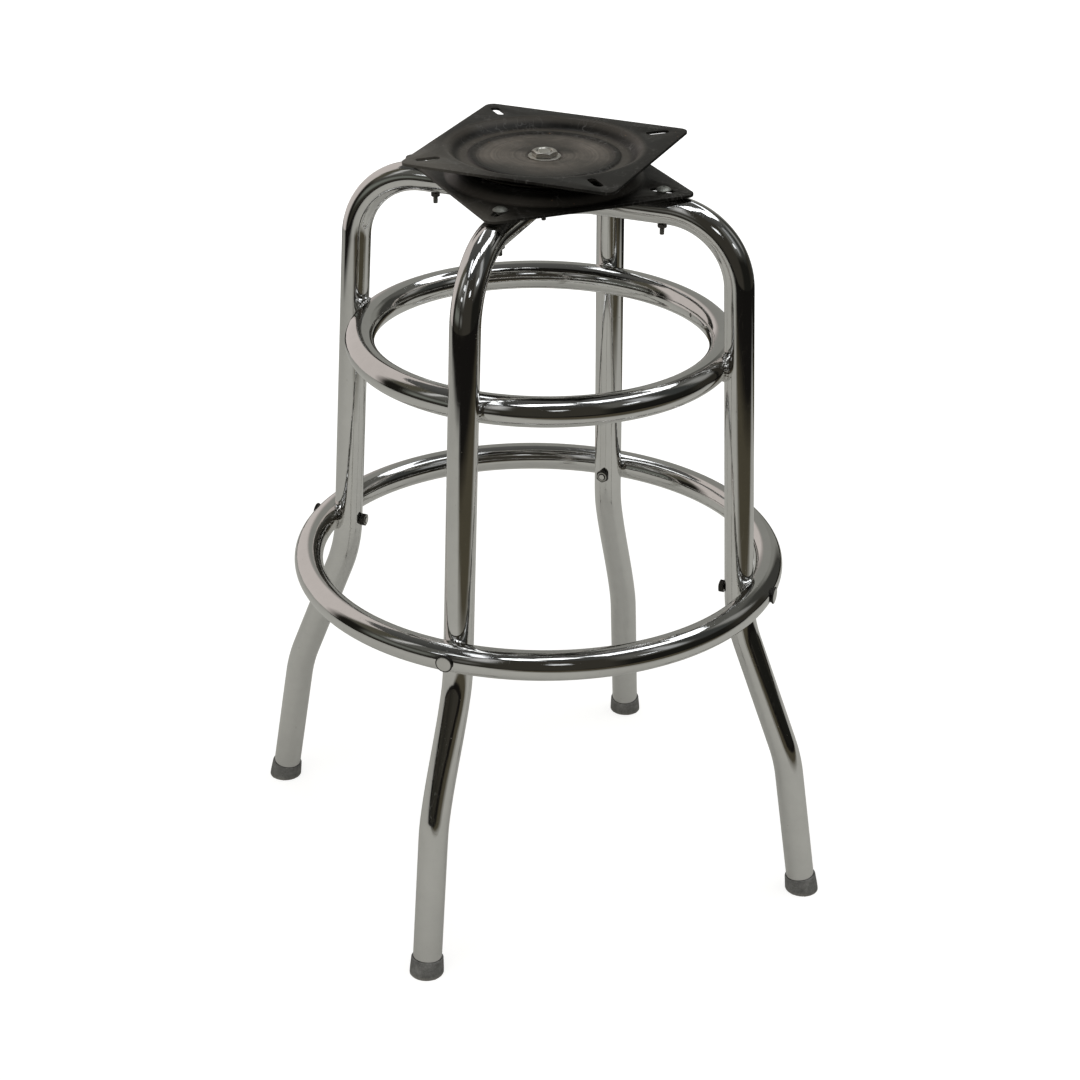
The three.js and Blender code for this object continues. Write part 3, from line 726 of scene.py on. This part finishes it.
# Swivel plates. Two like squares of steel sheet are pressed to a dish with a ball groove and a
# recess for the pivot, punched with a slot at each corner, and painted satin black.
plate_side, plate_corner, plate_corner_segments = 186, 8, 10
plate_shift = 2.5
plate_thickness = 2.5
plate_crease = 50
plate_steps = 128
lower_plate_under = 649.0
lower_plate_turn = 45
upper_plate_top = 676.99
upper_plate_turn = -1.4
dish_rim_radius, dish_floor_radius, dish_depth = 82, 73.5, 8.4
dish_run_out = 2.6
race_radius = 61
groove_half_width, groove_floor_half_width, groove_depth = 3.4, 1.9, 1.15
hub_recess_radius, hub_recess_slope, hub_recess_depth = 16.5, 2, 2
pivot_hole_radius = 6.6
plate_outline = (
    (dish_rim_radius, 0),
    (dish_floor_radius, -dish_depth),
    (race_radius + groove_half_width, -dish_depth),
    (race_radius + groove_floor_half_width, groove_depth - dish_depth),
    (race_radius - groove_floor_half_width, groove_depth - dish_depth),
    (race_radius - groove_half_width, -dish_depth),
    (hub_recess_radius, -dish_depth),
    (hub_recess_radius - hub_recess_slope, -dish_depth - hub_recess_depth),
    (pivot_hole_radius, -dish_depth - hub_recess_depth),
)
press_roundings = {0: 2.4, 1: 2.6, 2: 0.9, 3: 0.9, 4: 0.9, 5: 0.9, 6: 1.2, 7: 1.2}
press_rounding_segments = 5
slot_reach, slot_length, slot_width, slot_sides = 103.8, 21, 7.5, 32
sharp_edge = 60
lip_edge, lip_segments = 0.35, 2

# Where grease, wear and dust lie on a plate, and where light and shade are painted on it, as reaches
# from the pivot in metres. The way towards the camera places the two patches of painted shade, where
# the grease is darkened by the groove and behind the nut.
greased_floor = (0.0605, 0.05)
groove_film = ((0.0635, 0.0655), (0.074, 0.07))
rim_rub_and_highlight = ((0.0765, 0.0795), (0.086, 0.082))
camera_way = (0.35, -0.94)
front_shade_way, front_shade_reach = (0.008, 0.035), (0.032, 0.05)
back_shade_way, back_shade_reach = (-0.002, -0.012), (0.04, 0.02)
dusty_corner = (-0.09, -0.15)


def pressed_plate():
    """The sheet's outer face first, its flange at zero and its dish below. Then it gets its wall."""
    bm = bmesh.new()
    verts = draw_outline(bm, plate_outline)
    run_out = bm.verts.new((dish_rim_radius + dish_run_out, 0, 0))
    bm.edges.new((run_out, verts[0]))
    for index, size in press_roundings.items():
        soften(bm, [verts[index]], size, press_rounding_segments)
    spin_full(bm, bm.verts[:] + bm.edges[:], plate_steps)
    rim = [edge for edge in bm.edges if edge.is_boundary
           and edge.verts[0].co.xy.length > dish_rim_radius]
    square = bmesh.ops.create_grid(bm, x_segments=1, y_segments=1, size=plate_side / 2)["verts"]
    shift_shape(bm, (plate_shift, 0, 0), square)
    bmesh.ops.delete(bm, geom=[face for face in bm.faces if square[0] in face.verts],
                     context="FACES_ONLY")
    soften(bm, square, plate_corner, plate_corner_segments)
    for turn in leg_turns.values():
        slot = bmesh.ops.create_circle(
            bm, cap_ends=False, radius=slot_width / 2, segments=slot_sides)["verts"]
        for vert in slot:
            vert.co.x += math.copysign((slot_length - slot_width) / 2, vert.co.x)
        shift_shape(bm, (slot_reach, 0, 0), slot)
        turn_shape(bm, turn + 45, "Z", slot)
    loops = rim + [edge for edge in bm.edges if not edge.link_faces]
    bmesh.ops.triangle_fill(bm, use_beauty=True, use_dissolve=False, edges=loops, normal=(0, 0, 1))
    face_outwards(bm)
    if sum(face.normal.z * face.calc_area() for face in bm.faces) < 0:
        bmesh.ops.reverse_faces(bm, faces=bm.faces[:])
    bmesh.ops.solidify(bm, geom=bm.faces[:], thickness=plate_thickness)
    face_outwards(bm)
    lips = [edge for edge in bm.edges
            if edge.is_manifold and edge.calc_face_angle(0) > math.radians(sharp_edge)]
    soften(bm, lips, lip_edge, lip_segments, "EDGES")
    return bm


def plate_paint(name):
    """Satin black, thin and browned in places, scuffed on the dish and edges, with painted shade and
    highlight.
    """
    material, nodes, shader = new_material(name, Metallic=0.15, Specular_IOR_Level=0.2)
    place = nodes.place()
    film, scratches, pits = wear(nodes, place, 22.0, 120.0, 45.0, 180.0, 0.06)
    parts = nodes.parts(place)
    reach = nodes.reach(parts)

    def ring_of(inner, outer):
        return nodes.times(nodes.fade(reach, *inner), nodes.fade(reach, *outer))

    wiped = nodes.fade(nodes.along_reach(reach, 420.0, 3.0), 0.3, 0.65, 0.5, 1)
    greased = nodes.times(nodes.fade(reach, *greased_floor), wiped)
    toward = nodes.times_plus(parts["X"], camera_way[0], nodes.times(parts["Y"], camera_way[1]))
    # Painted shade: the grease is darkened in a band by the groove on the side towards the camera, and
    # in a crescent behind the nut.
    near_rim_shade = nodes.times(nodes.fade(toward, *front_shade_way), nodes.fade(reach, *front_shade_reach))
    behind_nut_shadow = nodes.times(nodes.fade(toward, *back_shade_way), nodes.fade(reach, *back_shade_reach))
    painted_shade = nodes.times(nodes.math("MAXIMUM", near_rim_shade, behind_nut_shadow), -0.7)
    greased = nodes.times_plus(greased, painted_shade, greased)
    dusty = nodes.fade(nodes.math("ADD", parts["X"], parts["Y"]), *dusty_corner)
    bare = nodes.times(scratches, 0.5)
    shown = nodes.blend(film, colour(0.005, 0.0048, 0.004), colour(0.022, 0.02, 0.017))
    grease = nodes.blend(film, colour(0.07, 0.062, 0.052), colour(0.18, 0.158, 0.135))
    for share, laid_on in (
            (nodes.times(dusty, 0.8), colour(0.1, 0.093, 0.08)),
            (greased, grease),
            (nodes.times(ring_of(*groove_film), 0.55), colour(0.085, 0.076, 0.064)),
            # the ring round the dish rim is lightened: a painted highlight on its rounded edge, with rub
            (nodes.times(ring_of(*rim_rub_and_highlight), 0.6), colour(0.075, 0.067, 0.057)),
            (bare, colour(0.13, 0.125, 0.12)),
            (nodes.times(pits, 0.8), colour(0.16, 0.1, 0.06))):
        shown = nodes.blend(share, shown, laid_on)
    nodes.feed(shader.inputs["Base Color"], shown)
    nodes.feed(shader.inputs["Roughness"], nodes.fade(film, 0, 1, 0.3, 0.5))
    height = nodes.times_plus(nodes.noise(place, 600.0), 0.4, nodes.times(scratches, -0.6))
    wipe_marks = nodes.times(nodes.along_reach(reach, 1600.0, 2.0), greased)
    nodes.bump(shader, nodes.times_plus(wipe_marks, 2.5, height), 0.25, 0.0004)
    return material


plate_black = plate_paint("plate paint")
lower_plate = pressed_plate()
turn_shape(lower_plate, 180, "X")
turn_shape(lower_plate, lower_plate_turn)
shift_shape(lower_plate, (0, 0, lower_plate_under))
finish_piece("lower_plate_pressed", lower_plate, plate_black, "base",
             ["lower_plate"], plate_crease)

upper_plate = pressed_plate()
turn_shape(upper_plate, upper_plate_turn)
shift_shape(upper_plate, (0, 0, upper_plate_top))
finish_piece("upper_plate_pressed", upper_plate, plate_black, "swivel_top",
             ["upper_plate"], plate_crease)

# Ball race. Twelve hard steel balls run in the grooves of the two plates, spaced by a thin cage
# of punched steel that is kept as it was modelled.
race_height = 663
ball_radius, ball_fineness = 3.97, 4
ball_count = 12
all_smooth = 180
race_steel = worn_chrome("race steel", (0.62, 0.61, 0.6), 0.12)
cage_steel = worn_chrome("cage steel", (0.1, 0.095, 0.085), 0.35)


def repaint(node, material):
    """A node that is kept as it was modelled gets a finish of this scene."""
    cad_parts[node].data.materials.clear()
    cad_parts[node].data.materials.append(material)


for index in range(ball_count):
    ball = bmesh.new()
    bmesh.ops.create_icosphere(ball, subdivisions=ball_fineness, radius=ball_radius)
    angle = 2 * math.pi * index / ball_count
    shift_shape(ball, (race_radius * math.cos(angle), race_radius * math.sin(angle), race_height))
    name = f"bearing_ball_{index + 1}"
    finish_piece(f"{name}_turned", ball, race_steel, "ball_race", [name], all_smooth)
repaint("ball_cage", cage_steel)

# Pivot. A large bolt comes up through both plates and ends in a zinc-plated hexagon nut on a
# washer, in the middle of the upper dish.
pivot_radius = 6.35
pivot_pitch, pivot_point, pivot_in_head = 1.95, 0.8, 1
pivot_head_radius = 10.5
pivot_head_faces = (656.1, 659.1)
pivot_tip = 672.4
pivot_washer_radius, pivot_washer_bore, pivot_washer_faces = 13.8, 6.75, (666.9, 668.4)
pivot_nut_flats, pivot_nut_faces = 19, (668.7, 672.9)
pivot_nut_turn = 12


def plated_steel(name, dark, light, rough, metallic):
    """Dull plating: a blotched colour, cloudy roughness, wear lines and a few brown specks."""
    material, nodes, shader = new_material(name, Metallic=metallic)
    place = nodes.place()
    film, scratches, pits = wear(nodes, place, 130.0, 420.0, 30.0, 500.0, 0.08)
    shown = nodes.blend(film, colour(*light), colour(*dark))
    nodes.feed(shader.inputs["Base Color"], nodes.blend(pits, shown, colour(0.16, 0.1, 0.06)))
    roughness = nodes.fade(film, 0, 1, rough, rough + 0.2)
    nodes.feed(shader.inputs["Roughness"], nodes.times_plus(scratches, 0.1, roughness))
    height = nodes.times_plus(scratches, -0.5, nodes.noise(place, 700.0, 2.0))
    nodes.bump(shader, height, 0.15, 0.0003)
    return material


zinc = plated_steel("zinc plate", (0.42, 0.41, 0.37), (0.72, 0.7, 0.64), 0.26, 0.95)
dark_plate = plated_steel("oiled steel", (0.07, 0.066, 0.06), (0.16, 0.15, 0.14), 0.35, 0.8)

pivot = threaded_rod(pivot_radius, pivot_head_faces[1] - pivot_in_head, pivot_tip, pivot_pitch,
                     pivot_point)
head = spun([(0, pivot_head_faces[0]), (pivot_head_radius, pivot_head_faces[0]),
             (pivot_head_radius, pivot_head_faces[1]), (0, pivot_head_faces[1])],
            {1: (0.6, 3), 2: (0.2, 2)})
finish_piece("pivot_bolt_rolled", join_shapes(pivot, head), zinc, "base", ["pivot_bolt"])
nut = hexagon_nut(pivot_nut_flats, *pivot_nut_faces, pivot_radius + thread_gap)
turn_shape(nut, pivot_nut_turn)
finish_piece("pivot_nut_turned", nut, zinc, "base", ["pivot_nut"])
washer_low, washer_high = pivot_washer_faces
washer = spun([(pivot_washer_bore, washer_low), (pivot_washer_radius, washer_low),
               (pivot_washer_radius, washer_high), (pivot_washer_bore, washer_high),
               (pivot_washer_bore, washer_low)], {1: (0.25, 2), 2: (0.4, 3)})
finish_piece("pivot_washer_punched", washer, zinc, "base", ["pivot_washer"])
repaint("thrust_washer", dark_plate)

# Plate screws. Dull zinc-plated truss-head screws go down through the lower plate's slots and the
# frame tubes, and show a little thread under their nuts.
screw_reaches = {"right": 105, "back": 102, "left": 99, "front": 100}
screw_radius, screw_pitch, screw_point, screw_in_head = 2.1, 0.8, 0.5, 0.3
screw_seat, screw_top = 651.8, 655.0
screw_tip, screw_thread_end = 613.6, 623.5
screw_head_radius, screw_head_edge = 6.35, 0.7
screw_shoulder_share, screw_shoulder_drop = 0.72, 0.75
screw_crown_share, screw_crown_drop = 0.35, 0.1
screw_head_roundings = {1: (0.2, 2), 2: (0.3, 2), 3: (1.6, 3), 4: (1.6, 3)}
recess_size, recess_foot_share, recess_turn = (3.6, 0.75, 2.4), 0.45, math.degrees(0.4)
plate_nut_flats, plate_nut_faces = 7.2, (619.8, 623.0)


def truss_head():
    """A wide low head with a cross recess pressed into it."""
    head = spun([
        (0, screw_seat), (screw_head_radius, screw_seat),
        (screw_head_radius, screw_seat + screw_head_edge),
        (screw_head_radius * screw_shoulder_share, screw_top - screw_shoulder_drop),
        (screw_head_radius * screw_crown_share, screw_top - screw_crown_drop),
        (0, screw_top)], screw_head_roundings)
    for turn in (0, 90):
        wing = bmesh.new()
        bmesh.ops.create_cube(wing, size=1)
        bmesh.ops.scale(wing, vec=recess_size, verts=wing.verts)
        for vert in wing.verts:
            if vert.co.z < 0:
                vert.co.x *= recess_foot_share
        turn_shape(wing, turn + recess_turn)
        shift_shape(wing, (0, 0, screw_top))
        head = cut_away(head, wing)
    return head


bright_plate = plated_steel("dull zinc plate", (0.22, 0.225, 0.2), (0.4, 0.405, 0.37), 0.45, 0.9)
for leg, turn in leg_turns.items():
    shank = threaded_rod(screw_radius, screw_tip, screw_thread_end, screw_pitch, screw_point,
                         screw_seat + screw_in_head)
    screw = join_shapes(shank, truss_head())
    nut = hexagon_nut(plate_nut_flats, *plate_nut_faces, screw_radius + thread_gap, True)
    for shape in (screw, nut):
        shift_shape(shape, (screw_reaches[leg], 0, 0))
        turn_shape(shape, turn)
    finish_piece(f"truss_screw_{leg}", screw, bright_plate, "base",
                 [f"plate_screw_{leg}"])
    finish_piece(f"screw_nut_{leg}", nut, dark_plate, "base", [f"plate_nut_{leg}"])

# Crossing bolt. One more bolt holds the two pressed tubes together under the plates. It and its
# nut are oiled plain steel. Only its tip shows, so head and nut have usual sizes.
cross_head_flats, cross_head_faces = 9.5, (649.0, 652.0)
cross_head_dimple, cross_in_head = 0.4, 0.2
cross_tip, cross_thread_end = 611.7, 622
cross_nut_faces = (617.1, 621.1)
cross = threaded_rod(screw_radius, cross_tip, cross_thread_end, screw_pitch, screw_point,
                     cross_head_faces[0] + cross_in_head)
cross_head = hexagon_nut(cross_head_flats, *cross_head_faces, cross_head_dimple)
finish_piece("cross_bolt_rolled", join_shapes(cross, cross_head), dark_plate, "base",
             ["cross_bolt"])
nut = hexagon_nut(plate_nut_flats, *cross_nut_faces, screw_radius + thread_gap, True)
finish_piece("cross_nut_turned", nut, dark_plate, "base", ["cross_nut"])

# Floor. A plain pale sweep that shows as white, with the stool's soft shadow on it. Its glow grows
# with distance, so that no edge shows against the white behind it.
floor_half_side = 6
floor_glow_reach, floor_glow = (0.6, 2.2), (0.76, 1.05)


def stage_sheet(name, bm, surface, hidden=True):
    """A sheet of the studio. A hidden one only shows in what the chrome reflects."""
    sheet = add_object(name, mesh_of(name, bm))
    sheet.data.materials.append(surface)
    if hidden:
        surface.cycles.emission_sampling = "NONE"
        sheet.visible_camera = sheet.visible_diffuse = sheet.visible_shadow = False


def stage_paint(name):
    material = bpy.data.materials.new(name)
    material.use_nodes = True
    material.node_tree.nodes.clear()
    return material, Nodes(material.node_tree)


def seen_plainly(nodes):
    """One for what the camera sees, also in metal or through glass, and zero for stray light."""
    rays = nodes.add("ShaderNodeLightPath").outputs
    mirrored = nodes.math("MAXIMUM", rays["Is Glossy Ray"], rays["Is Transmission Ray"])
    return nodes.math("MAXIMUM", rays["Is Camera Ray"], mirrored)


floor_paint, nodes = stage_paint("floor paint")
plain = nodes.add("ShaderNodeBsdfDiffuse", {"Color": colour(0.4, 0.395, 0.38)})
distance = nodes.add("ShaderNodeVectorMath", {0: nodes.place()}, operation="LENGTH").outputs["Value"]
white = nodes.add("ShaderNodeEmission", {
    "Color": colour(1, 1, 1), "Strength": nodes.fade(distance, *floor_glow_reach, *floor_glow)})
both = nodes.add("ShaderNodeAddShader", {0: plain.outputs[0], 1: white.outputs[0]})
floor_mix = nodes.add("ShaderNodeMixShader", {
    0: seen_plainly(nodes), 1: plain.outputs[0], 2: both.outputs[0]})
nodes.add("ShaderNodeOutputMaterial", {"Surface": floor_mix.outputs[0]})
floor_shape = bmesh.new()
bmesh.ops.create_grid(floor_shape, x_segments=1, y_segments=1, size=floor_half_side)
stage_sheet("floor", floor_shape, floor_paint, False)

# Studio board. The stool stands on a pale grey board on a brown floor that darkens further off.
# It is painted on a disc just above the floor, and only the chrome shows it.
studio_radius, studio_height, studio_sides = 2.3, 3.05, 64
board_height = 0.001
board_way = (0.854, -0.519)
board_right_end, board_back_end, board_front_end = (0.58, 0.86), (0.95, 1.1), (1.6, 1.78)
board_front_half = (-0.2, -0.5)
brown_darkens = (1.3, 1.55)


def cover(nodes, kind, tone):
    shader = nodes.add(kind, {"Color": tone})
    nodes.add("ShaderNodeOutputMaterial", {"Surface": shader.outputs[0]})


def studio_disc(name, height, paint):
    disc = bmesh.new()
    bmesh.ops.create_circle(disc, cap_ends=True, radius=studio_radius, segments=studio_sides,
                            matrix=Matrix.Translation((0, 0, height)))
    stage_sheet(name, disc, paint)


board_paint, nodes = stage_paint("board paint")
parts = nodes.parts(nodes.place())
across = nodes.times_plus(parts["X"], board_way[0], nodes.times(parts["Y"], board_way[1]))
off_board = nodes.math("MAXIMUM", nodes.fade(across, *board_right_end),
                       nodes.fade(parts["Y"], *board_back_end))
far = nodes.reach(parts)
off_front = nodes.times(nodes.fade(far, *board_front_end), nodes.fade(parts["Y"], *board_front_half))
off_board = nodes.math("MAXIMUM", off_board, off_front)
brown = nodes.blend(nodes.fade(far, *brown_darkens), colour(0.085, 0.075, 0.052),
                    colour(0.012, 0.011, 0.01))
cover(nodes, "ShaderNodeBsdfDiffuse", nodes.blend(off_board, colour(0.5, 0.497, 0.47), brown))
studio_disc("studio_board", board_height, board_paint)

# Studio walls. Pale panels, dark gaps and dark furniture stand round the board. They are painted
# on one round wall by bearing, in degrees from the front leg towards the right one, and by height.
wall_sides = 96
wall_lightens = (0.9, 1.6)
wall_panels = {
    "front right gap": ((0.04, 0.037, 0.03), (2, 58), (None, None), (4, 0.1)),
    "back left wall": ((0.27, 0.27, 0.25), (None, -148), (None, None), (4, 0.1)),
    "left panel": ((0.62, 0.57, 0.545), (-147, -78), (None, None), (5, 0.1)),
    "left corner": ((0.085, 0.08, 0.06), (-77, -55), (1.3, None), (3, 0.3)),
    "left furniture": ((0.013, 0.012, 0.01), (-74, -60), (None, 1.3), (3, 0.2)),
    "front left sill": ((0.17, 0.18, 0.16), (-57, -23), (0.42, 0.95), (4, 0.15)),
    "front left light": ((0.6, 0.6, 0.59), (-52, -45), (1.6, None), (2, 0.3)),
    "front gap": ((0.018, 0.017, 0.015), (-22, -17), (None, None), (1.5, 0.2)),
    "front sill": ((0.16, 0.16, 0.15), (-15, -4), (0.4, 0.8), (3, 0.15)),
    "front light": ((0.5, 0.5, 0.5), (-10, 0), (1.5, None), (3, 0.3)),
    "right furniture": ((0.012, 0.012, 0.01), (56, 112), (None, 1.15), (5, 0.2)),
    "right light": ((0.4, 0.41, 0.42), (80, 92), (1.4, None), (3, 0.2)),
    "back right gap": ((0.045, 0.048, 0.046), (96, 117), (1.0, None), (3, 0.2)),
    "back right panel": ((0.28, 0.28, 0.27), (121, 136), (1.15, 2.3), (3, 0.2)),
    "back gap": ((0.05, 0.05, 0.045), (138, 163), (None, 2.0), (3, 0.2)),
    "back wall": ((0.24, 0.24, 0.22), (166, None), (None, 1.7), (4, 0.2)),
}
far_lamps = ((31, 1.85, 5, 0.16), (-19, 2.3, 5, 0.2), (74, 1.7, 5, 0.12), (-24, 1.55, 3, 0.1))
far_lamp_tone, far_lamp_soft = (1.5, 1.55, 1.6), (0.6, 0.015)

wall_paint, nodes = stage_paint("wall paint")
parts = nodes.parts(nodes.place())
radians_round = nodes.math("ARCTAN2", parts["X"], nodes.times(parts["Y"], -1.0))
bearing = nodes.times(radians_round, 180 / math.pi)


def wall_panel(behind, tone, bearings, heights, soft):
    """A soft-edged patch of the wall, between two bearings and two heights in metres."""
    mask = 1.0
    for value, (low, high), edge in zip((bearing, parts["Z"]), (bearings, heights), soft):
        if low is not None:
            mask = nodes.times(mask, nodes.fade(value, low - edge, low + edge))
        if high is not None:
            mask = nodes.times(mask, nodes.fade(value, high - edge, high + edge, 1, 0))
    return nodes.blend(mask, behind, colour(*tone))


wall = nodes.blend(nodes.fade(parts["Z"], *wall_lightens), colour(0.03, 0.028, 0.022),
                   colour(0.11, 0.11, 0.1))
for panel in wall_panels.values():
    wall = wall_panel(wall, *panel)
for middle, height, wide, tall in far_lamps:
    wall = wall_panel(wall, far_lamp_tone, (middle - wide, middle + wide),
                      (height - tall, height + tall), far_lamp_soft)
cover(nodes, "ShaderNodeEmission", wall)
wall_shape = bmesh.new()
bmesh.ops.create_cone(wall_shape, cap_ends=False, segments=wall_sides, radius1=studio_radius,
                      radius2=studio_radius, depth=studio_height,
                      matrix=Matrix.Translation((0, 0, studio_height / 2)))
stage_sheet("studio_walls", wall_shape, wall_paint)

# Studio ceiling. It is a plain grey, a little lighter towards the back, painted on a disc. The
# lamps of the next section hang just under it.
ceiling_front, ceiling_back = -1.5, 2.0
ceiling_paint, nodes = stage_paint("ceiling paint")
share = nodes.fade(nodes.parts(nodes.place())["Y"], ceiling_front, ceiling_back)
tone = nodes.blend(share, colour(0.05, 0.05, 0.047), colour(0.12, 0.12, 0.115))
cover(nodes, "ShaderNodeEmission", tone)
studio_disc("studio_ceiling", studio_height, ceiling_paint)

# Light. The world is white where it is seen and a plain soft grey as light. Five long lamps under
# the ceiling show in the chrome. A wide soft top and a tilted fill light the stool and don't show.
cool_white = (0.93, 0.96, 1.0)

world = bpy.data.worlds.new("room")
bpy.context.scene.world = world
world.use_nodes = True
world.node_tree.nodes.clear()
nodes = Nodes(world.node_tree)
soft_light = nodes.add("ShaderNodeBackground", {"Color": colour(0.3, 0.3, 0.29)})
white = nodes.add("ShaderNodeBackground", {"Color": colour(1, 1, 1)})
world_mix = nodes.add("ShaderNodeMixShader", {
    0: seen_plainly(nodes), 1: soft_light.outputs[0], 2: white.outputs[0]})
nodes.add("ShaderNodeOutputWorld", {"Surface": world_mix.outputs[0]})


def studio_lamp(name, place, turn, size, radiance, tint, reflected=True, tilt=0):
    """A flat soft light that looks down, as bright all over as radiance says."""
    data = bpy.data.lights.new(name, "AREA")
    data.shape = "RECTANGLE"
    data.size, data.size_y = size
    data.energy = radiance * math.pi * size[0] * size[1]
    data.color = tint
    lamp = add_object(name, data)
    lamp.location = place
    lamp.rotation_euler = (math.radians(tilt), 0, math.radians(turn))
    lamp.visible_camera = False
    lamp.visible_glossy = reflected


studio_lamp("near lamp", (0.35, -0.95, 3.0), -24, (0.45, 1.35), 3.2, (0.95, 0.97, 1.0))
studio_lamp("right lamp", (1.3, 0.8, 3.0), -24, (0.65, 2.2), 2.6, cool_white)
studio_lamp("back lamp", (0.75, 1.75, 3.0), 60, (0.6, 1.6), 2.0, cool_white)
studio_lamp("left lamp", (-0.95, 1.0, 3.0), 12, (0.35, 1.3), 2.2, cool_white)
studio_lamp("left front lamp", (-0.5, -1.35, 3.0), 8, (0.3, 1.2), 1.6, cool_white)
studio_lamp("soft top", (0, 0, 3.0), 0, (3.2, 3.2), 1.2, (1.0, 0.985, 0.96), False)
studio_lamp("soft fill", (-0.35, -1.6, 2.1), -12, (2.0, 1.2), 1.3, (1.0, 0.98, 0.95), False, 42)

bpy.context.scene.view_settings.view_transform = "Standard"
